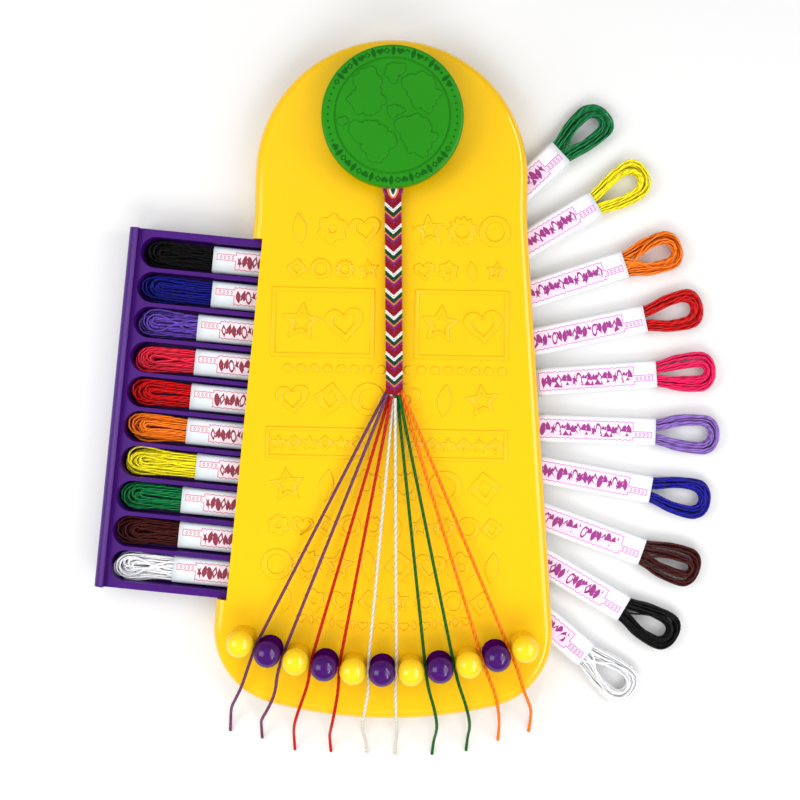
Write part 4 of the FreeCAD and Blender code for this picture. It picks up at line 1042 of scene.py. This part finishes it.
@dataclass
class Skein:
    """A hank of floss in a paper sleeve, in millimetres.

    Its own x runs from the sleeve's mouth to the loops, and its columns hold where each turn
    goes out and comes back, as places from the middle.
    """

    colour: str
    body: str
    x: float
    y: float
    base: float
    turn: float
    fold: Fold
    slip: float = 0.0
    lean: float = 0.0
    crossed: int = 0
    eye: float = 1.2
    extra: float = 0.0
    diameter: float = 0.95
    rows: int = 6
    pitch: float = 1.06
    inner_side: float = 0.6
    outermost: int = 4
    least_half: float = 1.6
    blunt_half: float = 5.2
    throat: float = 10.0
    bow: float = 12.4
    halfway: float = -27.0
    lean_reach: float = 26.0
    sway: float = 0.9
    sway_reach: float = 20.0
    length: float = 4.855
    sleeve_long: float = 55.5
    sleeve_half: float = 6.05
    corner: float = 1.7
    sleeve_foot: float = -0.45
    sleeve_high: float = 7.3
    paper: float = 0.28
    band: float = 3.6
    small_marks: int = 4
    tall_marks: int = 18
    wrap: SleevePaper = SleevePaper()
    columns: tuple[tuple[int, int], ...] = ((4, 4), (0, 1), (3, 3), (1, 2), (2, 0))
    motifs: tuple[Motif, ...] = (
        Motif.LEAF, Motif.HEART, Motif.RING, Motif.DOT, Motif.LEAF, Motif.STAR, Motif.DIAMOND,
        Motif.HEART,
    )

    def dice(self) -> random.Random:
        """The skein's own repeatable unevenness."""
        return random.Random(f"{self.colour} {self.fold.name}")

    def to_board(self, x: float, y: float, z: float) -> Spot:
        """A place on the skein, in the row frame.

        Args:
            x: along the skein, in millimetres.
            y: across it.
            z: above its underside.

        Returns:
            The place in metres.
        """
        c, s = math.cos(math.radians(self.turn)), math.sin(math.radians(self.turn))
        return ((self.x + x * c - y * s) * MM, (self.y + x * s + y * c) * MM, (self.base + z) * MM)

    def loop(self, sides: Pair, column: float, levels: Pair, face: int,
             dice: random.Random) -> list[Spot]:
        """A turn's free part, from the sleeve's mouth and back to it.

        Args:
            sides: where the thread leaves the mouth and where it comes back.
            column: the turn's mean place in the sleeve.
            levels: its height in the mouth and in the loop.
            face: 1 for a plain loop, -1 for one whose two sides change places.
            dice: the skein's unevenness.

        Returns:
            The points along it.
        """
        shape = self.fold.value
        half = self.eye + (shape.outer - self.eye) * column / self.outermost
        half = max(self.least_half, half + dice.uniform(-shape.narrower, 0.3))
        reach = shape.reach + shape.further * column + self.extra
        reach += dice.uniform(-shape.shorter, 0.4)
        skew = dice.uniform(-shape.skew, shape.skew)
        spread = shape.spread if face > 0 else shape.crossed_spread
        throat = min(self.throat, reach - self.bow)
        wide, blunt = face * half, min(1.0, half / self.blunt_half)
        low, high = levels
        middle, over = (low + high) / 2, high + 0.1
        out, back = (wide - sides[0]) * spread, (wide + sides[1]) * spread
        line = [
            (throat * 0.42, sides[0] + out * 0.36, middle),
            (throat, sides[0] + out + dice.uniform(-0.5, 0.5), high),
            (reach - 8.4 * blunt, wide + skew, high),
            (reach - 3.4 * blunt, wide * 0.95 + skew, high),
            (reach, wide * 0.46 + skew, high),
            (reach + 0.1, -wide * 0.42 + skew, over),
            (reach - 3.2 * blunt, -wide * 0.94 + skew, over),
            (reach - 7.9 * blunt, -wide + skew, over),
            (throat + 0.4, sides[1] - back + dice.uniform(-0.5, 0.5), high),
            (throat * 0.44, sides[1] - back * 0.36, middle),
        ]
        return [(x, y + self.lean * (max(0.0, x) / self.lean_reach) ** 2, z) for x, y, z in line]

    def route(self) -> list[Spot]:
        """The thread's way through all its turns."""
        dice = self.dice()
        points: list[Spot] = []
        tail, mouth = -self.sleeve_long + 0.8, -self.slip - 1.0
        for row in range(self.rows):
            low = 0.5 + self.pitch * row
            sway = self.sway * math.sin(2.3 * row) if self.fold is Fold.PACKED else 0.0
            for number, (out, back) in enumerate(self.columns):
                sides = (self.inner_side + self.pitch * out, -self.inner_side - self.pitch * back)
                high = 0.55 + self.fold.value.rise * row + dice.uniform(0, 0.4)
                loose = row == self.rows - 1 and 0 < number <= self.crossed
                free = self.loop(sides, (out + back) / 2, (low, high + 0.8 * loose),
                                 -1 if loose else 1, dice)
                there, home = (
                    [(tail - 1.2, side * 0.7, low), (tail + 3.0, side, low),
                     (self.halfway, side, low), (mouth, side, low)] for side in sides
                )
                points += there
                points += [(x, y + sway * min(1.0, x / self.sway_reach), z) for x, y, z in free]
                points += reversed(home)
        return [self.to_board(*point) for point in points]

    def sleeve_ring(self, x: float, inset: float, dice: random.Random) -> list[Vector]:
        """One ring of the sleeve's wall.

        Args:
            x: where along the sleeve.
            inset: how far inside the outer face.
            dice: the skein's unevenness.

        Returns:
            The ring's points in the row frame.
        """
        corner, steps = self.corner - inset, 5
        side_y = self.sleeve_half - self.corner
        bottom, top = self.sleeve_foot + inset, self.sleeve_foot + self.sleeve_high - inset
        crown = dice.uniform(0.0, 0.05)
        ring = []
        for side, level, first in ((1, top - corner - crown, 0), (-1, top - corner - crown, 90),
                                   (-1, bottom + corner, 180), (1, bottom + corner, 270)):
            for k in range(steps + 1):
                a = math.radians(first + 90 * k / steps)
                ring.append(Vector(self.to_board(x, side * side_y + corner * math.cos(a),
                                                 level + corner * math.sin(a))))
        return ring

    def sleeve_mesh(self, name: str) -> bpy.types.Mesh:
        """The paper sleeve as a thin tube with a folded section.

        Args:
            name: the mesh's name.

        Returns:
            The mesh.
        """
        dice, steps = self.dice(), 10
        places = [-self.slip - (self.sleeve_long - self.slip) * k / steps
                  for k in range(steps + 1)]
        shape = bmesh.new()
        rings = [self.sleeve_ring(x, 0.0, dice) for x in places]
        rings += [self.sleeve_ring(x, self.paper, dice) for x in reversed(places)]
        made = [[shape.verts.new(point) for point in ring] for ring in rings]
        for near, far in zip(made, made[1:] + made[:1]):
            for k in range(len(near)):
                after = (k + 1) % len(near)
                shape.faces.new((near[k], near[after], far[after], far[k]))
        mesh = finished_mesh(name, shape)
        mesh.shade_smooth()
        return mesh

    def label(self, grow: float) -> list[Outline]:
        """The pale band behind the printed marks: narrow at the mouth, then broad.

        Args:
            grow: how much wider it is than its least.

        Returns:
            Its outline in the row frame, in millimetres.
        """
        start, step, end = -self.slip - 2.1 + grow, -self.slip - 10.6 + grow, -53.6 - grow
        low, high = -2.5 - grow, -0.3 + grow
        broad = scalloped(end, step, self.band + grow, 0.22)
        half = len(broad) // 2
        tab = [(step, high), (start, high), (start, low), (step, low)]
        return placed([broad[:half] + tab + broad[half:]], self.x, self.y, self.turn)

    def mark(self, motif: Motif, size: float, squeeze: float, x: float, y: float,
             turn: float = 0.0) -> list[Outline]:
        """One printed motif.

        Args:
            motif: which one.
            size: half of its height.
            squeeze: its width against its height.
            x: where it is along the sleeve.
            y: where it is across it.
            turn: how far it turns, in degrees.

        Returns:
            Its outlines in the row frame, in millimetres.
        """
        shape = [[(px * squeeze, py) for px, py in line] for line in motif.outlines(size)]
        return placed(placed(shape, x, y, turn), self.x, self.y, self.turn)

    def marks(self) -> list[Outline]:
        """The slender motifs printed along the sleeve."""
        lines: list[Outline] = []
        for k in range(self.small_marks):
            lines += self.mark(Motif.RING, 0.8, 0.6, -self.slip - 3.6 - 1.8 * k, -1.4)
        for k in range(self.tall_marks):
            motif = self.motifs[(k * 3 + len(self.colour)) % len(self.motifs)]
            squeeze, swing = 0.95 if motif is Motif.LEAF else 0.43, (-1) ** k
            lines += self.mark(motif, 2.95, squeeze, -self.slip - 12.2 - 2.32 * k, 0.3 * swing,
                               9.0 * swing)
        return lines


@dataclass
class SkeinRack(Assembly):
    """All skeins that share a body, with their sleeves and print."""

    group: str
    skeins: list[Skein]
    rim: Hue
    halo: Hue
    ink: Hue
    turns: float = 640.0
    border: float = 0.42
    film: float = 0.03

    def build(self) -> None:
        """Winds the skeins, slips on their sleeves and prints these."""
        for skein in self.skeins:
            name = f"{self.group}_hank_{skein.colour}"
            curve = thread_curve(name, skein.diameter * MM, resolution=3, sides=1)
            route = skein.route()
            add_route(curve, route)
            hue = Hue[f"FLOSS_{skein.colour.upper()}"]
            hank = self.wardrobe.piece(
                name, curve, skein.body, [Floss(f"hank_{skein.colour}", hue, turns=self.turns)],
                [f"{self.group}_skein_{skein.colour}"], f"floss_{skein.colour}",
            )
            name = f"{self.group}_sleeve_{skein.colour}"
            sleeve = self.wardrobe.piece(name, skein.sleeve_mesh(name), skein.body, [skein.wrap],
                                         [f"{self.group}_sleeves"], "paper")
        one = self.skeins[0]
        top = one.base + one.sleeve_foot + one.sleeve_high
        prints = (
            (self.rim, [line for skein in self.skeins for line in skein.label(self.border)]),
            (self.halo, [line for skein in self.skeins for line in skein.label(0.0)]),
            (self.ink, [line for skein in self.skeins for line in skein.marks()]),
        )
        for layer, (hue, lines) in enumerate(prints):
            name = f"{self.group}_print_{layer}"
            mesh = relief_mesh(name, lines, top + self.film * (layer + 1), self.film, 0.0)
            self.wardrobe.piece(name, mesh, one.body, [PrintedInk(hue.name.lower(), hue)], (),
                                "paper")


def loose_skeins() -> SkeinRack:
    """The ten skeins fanned out at the board's right side.

    Returns:
        The rack, each skein with its place, turn, lean, crossed loops, eye and extra reach.
    """
    places = (
        ("green", 77.2, 105.9, 44.0, -0.6, 1, 3.4, 0.6),
        ("yellow", 93.6, 82.8, 32.0, 0.6, 0, 4.2, 0.4),
        ("orange", 107.5, 55.1, 19.0, 0.4, 3, 4.0, 0.4),
        ("red", 117.1, 30.3, 13.0, 0.8, 0, 4.2, 0.0),
        ("pink", 122.7, 5.0, 5.0, 0.0, 0, 2.4, 0.2),
        ("lavender", 122.8, -21.6, -1.0, -0.3, 0, 4.4, 2.4),
        ("blue", 121.2, -48.2, -9.5, -0.5, 0, 4.2, 0.6),
        ("brown", 117.8, -76.8, -19.0, 0.2, 1, 2.2, 0.4),
        ("black", 109.9, -102.9, -29.5, 0.5, 1, 4.0, 0.4),
        ("white", 93.2, -124.4, -39.0, 0.0, 2, 4.4, 0.6),
    )
    skeins = [
        Skein(colour, BOARD, x, y, base=0.5, turn=turn, fold=Fold.OPEN, lean=lean,
              crossed=crossed, eye=eye, extra=extra, length=5.17 + 0.06 * extra,
              sleeve_half=6.4, band=3.9)
        for colour, x, y, turn, lean, crossed, eye, extra in places
    ]
    return SkeinRack("loose", skeins, Hue.RIM_LILAC, Hue.HALO_LILAC, Hue.INK_MAGENTA)


def drawer_skeins() -> SkeinRack:
    """The ten skeins in the drawer's pockets.

    Returns:
        The rack, each skein with how far its sleeve sits back, its lean and crossed loops.
    """
    colours = (
        ("black", 4.2, 0.3, 1), ("navy", 5.2, -0.3, 0), ("violet", 0.2, 0.0, 2),
        ("rose", 0.6, 0.9, 1), ("red", 0.2, 0.2, 0), ("orange", 0.0, -0.2, 0),
        ("yellow", 5.8, 0.4, 1), ("green", 0.8, 0.6, 0), ("brown", 1.1, 0.7, 1),
        ("white", 0.0, 0.8, 2),
    )
    turn, pitch, mouth, floor = 175.38, 15.75, -33.7, 4.8
    pulled, shut_x, shut_y = 55.4, -68.73, -18.8
    along = (-math.cos(math.radians(180.0 - turn)), math.sin(math.radians(180.0 - turn)))
    front = (shut_x + pulled * along[0], shut_y + pulled * along[1])
    # The drawer's sleeves get darker paper: painted shade for the inside of the drawer.
    wrap = SleevePaper("drawer_paper", Hue.PAPER_SHADE)
    skeins = []
    for number, (colour, slip, lean, crossed) in enumerate(colours):
        side = pitch * (number - (len(colours) - 1) / 2)
        x = front[0] + along[0] * mouth - along[1] * side
        y = front[1] + along[1] * mouth + along[0] * side
        skeins.append(Skein(colour, DRAWER, x, y, floor, turn, Fold.PACKED, slip, lean, crossed,
                            wrap=wrap))
    return SkeinRack("drawer", skeins, Hue.RIM_PINK, Hue.HALO_PINK, Hue.INK_CRIMSON)


# ---------------------------------------------------------------- bracelet
@dataclass
class Bracelet(Assembly):
    """The knotted band: rows of knots in a V, and the small loop that it starts from, in mm.

    Each band gives a row's hues, for its even and odd columns, as places in the list of hues.
    """

    middle: float = 2.94
    lean: float = 1.476
    half: float = 3.7
    columns: int = 5
    row: float = 0.958
    low_row: float = 0.875
    low_rows: int = 28
    bottom: float = -7.6
    top: float = 79.6
    fall: float = 3.4
    low: float = 22.5
    high: float = 24.5
    slant: float = 45.0
    knot: Pair = (0.68, 0.42)
    white_knot: Pair = (0.62, 0.34)
    hues: tuple[Hue, ...] = (
        Hue.KNOT_GREEN, Hue.KNOT_WHITE, Hue.KNOT_ORANGE, Hue.KNOT_CRIMSON, Hue.KNOT_VIOLET,
    )
    bands: tuple[tuple[int, int], ...] = (
        (3, 3), (3, 3), (3, 3), (4, 3), (4, 4), (2, 2), (0, 0), (0, 0), (1, 1), (1, 1),
    )
    loops: tuple[float, ...] = (0.48, 1.42, 2.36, 3.3, 4.26)
    loop_thread: float = 0.94
    loop_step: float = 0.78
    loop_sides: tuple[Pair, ...] = ((0.55, 94.0), (0.8, 90.0), (1.0, 86.5), (1.0, 84.0))
    end_thread: float = 1.3
    end_long: float = 1.8
    end_level: float = 22.9

    def frame(self) -> Matrix:
        """From the band's own place to the row frame."""
        return Matrix.Translation((self.middle * MM, 0.0, 0.0)) @ Matrix.Rotation(
            math.radians(self.lean), 4, "Z")

    def add_knot(self, shape: bmesh.types.BMesh, x: float, y: float, material: int) -> None:
        """Adds one knot, rounded on both faces of the band.

        Args:
            shape: the mesh that takes it.
            x: its middle across the band.
            y: its middle along the band.
            material: index of its colour.
        """
        sides, place = 8, self.frame()
        slant = math.radians(self.slant if x > 0 else -self.slant)
        white = self.hues[material] is Hue.KNOT_WHITE
        wide, tall = self.white_knot if white else self.knot
        middle, thick = (self.low + self.high) / 2, (self.high - self.low) / 2

        def corner(across: float, along: float, level: float) -> bmesh.types.BMVert:
            """A corner at a place on the slanted knot."""
            spot = Vector((x + across * math.cos(slant) - along * math.sin(slant),
                           y + across * math.sin(slant) + along * math.cos(slant),
                           middle + thick * level))
            return shape.verts.new(place @ (spot * MM))

        turns = [math.tau * k / sides for k in range(sides)]
        rings = [
            [corner(wide * share * math.cos(a), tall * share * math.sin(a), level) for a in turns]
            for share, level in ((0.6, 0.85), (1.0, 0.2), (1.0, -0.2), (0.6, -0.85))
        ]
        top, foot = corner(0.0, 0.0, 1.0), corner(0.0, 0.0, -1.0)
        for k in range(sides):
            after = (k + 1) % sides
            corners = [(near[k], far[k], far[after], near[after])
                       for near, far in zip(rings, rings[1:])]
            corners += [(top, rings[0][k], rings[0][after]),
                        (foot, rings[-1][after], rings[-1][k])]
            for loop in corners:
                face = shape.faces.new(loop)
                face.material_index, face.smooth = material, True

    def knots(self) -> bpy.types.Mesh:
        """The rows of knots."""
        shape = bmesh.new()
        pitch = self.half / self.columns
        shorter = self.row - self.low_row
        rows = int((self.top - self.bottom + self.low_rows * shorter) / self.row)
        for row in range(rows):
            rise = self.row * row - shorter * min(row, self.low_rows)
            for column in range(-self.columns, self.columns):
                x = pitch * (column + 0.5)
                y = self.bottom + rise + abs(x) * self.fall / self.half
                self.add_knot(shape, x, y, self.bands[row % len(self.bands)][column % 2])
        return finished_mesh("bracelet_knots", shape)

    def start_loop(self) -> bpy.types.Mesh:
        """The threads that open into a small loop under the disc."""
        curve = thread_curve("bracelet_start", self.loop_thread * MM, resolution=6, sides=2)
        place = self.frame()
        level = (self.low + self.high) / 2 + 0.1
        for step, wide in enumerate(self.loops):
            foot = self.top + 2.9 - self.loop_step * step
            left = [(-wide * share, y) for share, y in (*self.loop_sides, (0.62, foot + 0.9))]
            local = [*left, (0.0, foot - 0.5), *((-x, y) for x, y in reversed(left))]
            add_route(curve, [place @ (Vector((x, y, level)) * MM) for x, y in local])
        return curve_mesh(curve, range(len(self.loops)))

    def ends(self) -> bpy.types.Mesh:
        """The short ends that come out of the last knots, one above each working thread."""
        curve = thread_curve("bracelet_ends", self.end_thread * MM, resolution=4, sides=2)
        back, level = self.end_long * MM, self.end_level * MM
        for (x, y, z), (next_x, next_y, _), *_ in WorkingThreads().routes():
            aside = (x - next_x) * back / (y - next_y)
            add_route(curve, [(x + aside, y + back, level),
                              (x + aside / 2, y + back / 2, (z + level) / 2), (x, y, z)])
        return curve_mesh(curve, [k // 2 for k in range(len(curve.splines))])

    def build(self) -> None:
        """Makes the bracelet."""
        knotted = [KnottedFloss(hue.name.lower(), hue) for hue in self.hues]
        threads = WorkingThreads()
        loose = [threads.finish(hue) for hue in threads.hues]
        for mesh, finishes in ((self.knots(), knotted), (self.start_loop(), knotted),
                               (self.ends(), loose)):
            self.wardrobe.piece(mesh.name, mesh, BOARD, finishes, ["bracelet_band"],
                                "woven_floss")


# ---------------------------------------------------------------- board
@dataclass
class DeckRelief(Assembly):
    """Low raised ornament over the deck between the clip and the pegs, in millimetres.

    A row of motifs has its middle, half of a motif's height, half of the row's length and the
    first motif's place in the order. A frame has its middle, its whole width and height, and
    the width of its bars. Dots and foot marks have their size, how far apart they are, and
    their row's middle.
    """

    deck: float = 19.5
    height: float = 0.6
    sunk: float = 0.1
    edge: float = 0.34
    band_middle: float = 3.0
    band_room: float = 7.0
    band_end: float = -5.0
    tilt: float = 7.0
    rows: tuple[tuple[float, float, float, int], ...] = (
        (67.0, 7.0, 51.0, 0), (49.0, 4.6, 50.0, 3), (-9.0, 7.4, 51.0, 5), (-48.0, 7.6, 53.0, 1),
        (-66.0, 5.0, 53.0, 4), (-83.5, 7.0, 55.0, 2), (-99.5, 5.4, 50.0, 6),
    )
    order: tuple[Motif, ...] = (
        Motif.OPEN_HEART, Motif.FLOWER, Motif.LEAF, Motif.OPEN_STAR, Motif.SUN, Motif.RING,
        Motif.DIAMOND,
    )
    tall_frames: tuple[tuple[float, ...], ...] = (
        (-29.5, 25.0, 46.0, 31.0, 1.7), (32.5, 25.0, 42.0, 31.0, 1.7),
    )
    tall_motif: float = 8.6
    tall_aside: float = 9.6
    flat_frames: tuple[tuple[float, ...], ...] = (
        (-31.0, -29.0, 46.0, 14.0, 1.5), (31.0, -29.0, 46.0, 14.0, 1.5),
    )
    flat_motif: float = 3.6
    flat_pitch: float = 7.0
    dots: Spot = (1.9, 6.0, 4.4)
    foot_marks: Spot = (2.2, 4.6, -110.5)
    foot_curve: float = 0.05

    def row(self, y: float, size: float, reach: float, first: int) -> list[Outline]:
        """Motifs side by side across the deck, with room for the bracelet.

        Args:
            y: the row's middle.
            size: half of a motif's height.
            reach: half of the row's length.
            first: where it starts in the order of motifs.

        Returns:
            Their outlines.
        """
        lines: list[Outline] = []
        gap = self.band_room if y > self.band_end else 0.0
        count = round((reach - gap) / (size * 2.1))
        step = (reach - gap) / count
        for side in (-1, 1):
            for k in range(count):
                motif = self.order[(first + (k if side < 0 else count + k)) % len(self.order)]
                x = side * (gap + step * (k + 0.5)) + (self.band_middle if gap else 0.0)
                lines += placed(motif.outlines(size), x, y, self.tilt * (-1) ** k)
        return lines

    def frame(self, x: float, y: float, width: float, height: float, bar: float) -> list[Outline]:
        """A frame.

        Args:
            x: its middle, sideways.
            y: its middle, up the board.
            width: its whole width.
            height: its whole height.
            bar: the width of its bars.

        Returns:
            Its outer and inner outline.
        """
        inner = box_outline(width - 2 * bar, height - 2 * bar)
        return placed([box_outline(width, height), inner], x, y)

    def lines(self) -> list[Outline]:
        """All outlines of the ornament."""
        lines: list[Outline] = []
        for row in self.rows:
            lines += self.row(*row)
        for frame in self.tall_frames:
            lines += self.frame(*frame)
            x, y = frame[:2]
            for side, motif in ((-1, Motif.OPEN_STAR), (1, Motif.OPEN_HEART)):
                lines += placed(motif.outlines(self.tall_motif), x + self.tall_aside * side, y,
                                6.0 * side)
        for frame in self.flat_frames:
            lines += self.frame(*frame)
            x, y = frame[:2]
            for k in range(6):
                motif = (Motif.STAR, Motif.DIAMOND)[k % 2]
                lines += placed(motif.outlines(self.flat_motif),
                                x + self.flat_pitch * (k - 2.5), y)
        for k in range(-8, 9):
            size, pitch, y = self.dots
            if k != 0:  # the bracelet lies there
                lines += placed(Motif.DOT.outlines(size), pitch * k + self.band_middle, y)
            size, pitch, y = self.foot_marks
            motif = (Motif.HEART, Motif.LEAF)[k % 2]
            lines += placed(motif.outlines(size), pitch * k, y + self.foot_curve * k * k)
        return lines

    def build(self) -> None:
        """Raises the ornament on the deck."""
        mesh = relief_mesh("deck_relief", self.lines(), self.deck + self.height,
                           self.height + self.sunk, self.edge)
        mesh.shade_smooth()
        self.wardrobe.piece("deck_relief", mesh, BOARD, [YELLOW], (), "yellow_plastic")


@dataclass
class ClipRelief(Assembly):
    """Ornament on the clip's disc: islands inside the groove and small marks round it, whose darker
    green is painted shade.

    An island has its place on the disc, its mean radius and the seed of its shape.
    """

    middle: float = 115.1
    top: float = 33.5
    height: float = 0.6
    sunk: float = 0.1
    edge: float = 0.25
    marks_radius: float = 28.3
    marks_count: int = 60
    islands: tuple[tuple[float, float, float, int], ...] = (
        (-13.5, 9.5, 8.36, 5), (14.0, 9.0, 7.7, 4), (-9.5, -11.5, 8.58, 1), (12.0, -10.0, 8.2, 4),
        (1.0, 18.0, 3.96, 37), (1.5, 1.5, 3.0, 90), (-21.0, -3.0, 1.98, 26),
    )

    def lines(self) -> list[Outline]:
        """The islands inside the groove, in millimetres."""
        return [line for x, y, size, seed in self.islands
                for line in placed([island(size, seed)], x, self.middle + y)]

    def marks(self) -> list[Outline]:
        """The small marks between the groove and the rim."""
        motifs = ((Motif.LEAF, 2.3), (Motif.HEART, 1.6), (Motif.DIAMOND, 1.5))
        lines: list[Outline] = []
        for k in range(self.marks_count):
            turn = 360.0 * k / self.marks_count
            x = self.marks_radius * math.sin(math.radians(turn))
            y = self.middle + self.marks_radius * math.cos(math.radians(turn))
            beside = k % (self.marks_count // 2) in range(11, 20)
            motif, size = (Motif.DOT, 0.5) if beside else motifs[k % 3]
            lines += placed(motif.outlines(size), x, y, 0.0 if beside else -turn)
        return lines

    def build(self) -> None:
        """Raises the ornament on the disc."""
        mesh = relief_mesh("clip_relief", self.lines(), self.top + self.height,
                           self.height + self.sunk, self.edge)
        mesh.shade_smooth()
        self.wardrobe.piece("clip_relief", mesh, CLIP_LID, [GREEN], (), "green_plastic")
        # A thin dark green sheet of marks: painted shade along the lettering round the rim.
        mesh = relief_mesh("clip_marks", self.marks(), self.top + 0.05, 0.1, 0.0)
        self.wardrobe.piece("clip_marks", mesh, CLIP_LID, [GREEN_MARKS_PAINTED_SHADE], (), "green_plastic")


@dataclass
class ClipSpring(Assembly):
    """The hairpin of strip steel on the hinge pin."""

    pin: Pair = (121.0, 25.0)
    bend: float = 3.2
    thick: float = 0.5
    half: float = 4.0
    leg: float = 9.0
    curl: float = 0.12
    steps: int = 16
    shares: tuple[float, ...] = (1.0, 0.93, 0.6, 0.3)

    def side_line(self, radius: float) -> Outline:
        """One face of the strip seen from the side, from the lower tip to the upper one.

        Args:
            radius: distance from the pin to that face.

        Returns:
            Points along it, as y and z in millimetres.
        """
        y, z = self.pin
        leg = [(self.leg * k, radius - self.curl * (k == 1.0)) for k in self.shares]
        turns = [math.pi * (k / self.steps - 0.5) for k in range(self.steps + 1)]
        return ([(y + far, z - high) for far, high in leg]
                + [(y - radius * math.cos(t), z + radius * math.sin(t)) for t in turns]
                + [(y + far, z + high) for far, high in reversed(leg)])

    def mesh(self) -> bpy.types.Mesh:
        """The bent strip."""
        shape = bmesh.new()
        section = self.side_line(self.bend), self.side_line(self.bend - self.thick)
        rows = [[[shape.verts.new(Vector((x, y, z)) * MM) for y, z in line] for line in section]
                for x in (-self.half, self.half)]
        (outer_a, inner_a), (outer_b, inner_b) = rows
        for a, b in ((outer_a, outer_b), (inner_a, inner_b), (outer_a, inner_a),
                     (outer_b, inner_b)):
            for k in range(len(a) - 1):
                shape.faces.new((a[k], a[k + 1], b[k + 1], b[k]))
        for k in (0, -1):
            shape.faces.new((outer_a[k], outer_b[k], inner_b[k], inner_a[k]))
        return finished_mesh("leaf_spring", shape)

    def build(self) -> None:
        """Makes the spring in place of the CAD one and bakes its place into its mesh."""
        spring = self.wardrobe.piece("leaf_spring", self.mesh(), None, [PlatedSteel()],
                                     ["clip_spring"], "zinc_steel")
        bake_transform(spring)


@dataclass
class Case(Assembly):
    """The moulded pieces that keep their CAD shape."""

    pegs: tuple[str, ...] = tuple(f"purple_peg_{k}" for k in range(1, 6))

    def build(self) -> None:
        """Dresses the case, pegs, clip and drawer."""
        for finish, nodes in (
            (YELLOW, ("case_top", "base_cover")),
            (PURPLE, self.pegs),
            (LILAC, ("drawer_tray",)),
            (GREEN, ("clip_base", "clip_lid")),
            (PlatedSteel(), ("base_screws", "clip_pin")),
            (GripRubber(), ("clip_pad",)),
        ):
            self.wardrobe.dress(finish, *nodes)


def main() -> None:
    """Builds the dressed model in order."""
    logging.basicConfig(level=logging.INFO, format="%(name)s: %(message)s")
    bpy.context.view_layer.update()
    studio = Studio()
    studio.place_camera()
    for assembly in (WorkingThreads(), loose_skeins(), drawer_skeins(), Bracelet(), Case(),
                     ClipSpring(), DeckRelief(), ClipRelief(), studio):
        assembly.build()


if __name__ == "__main__":
    main()
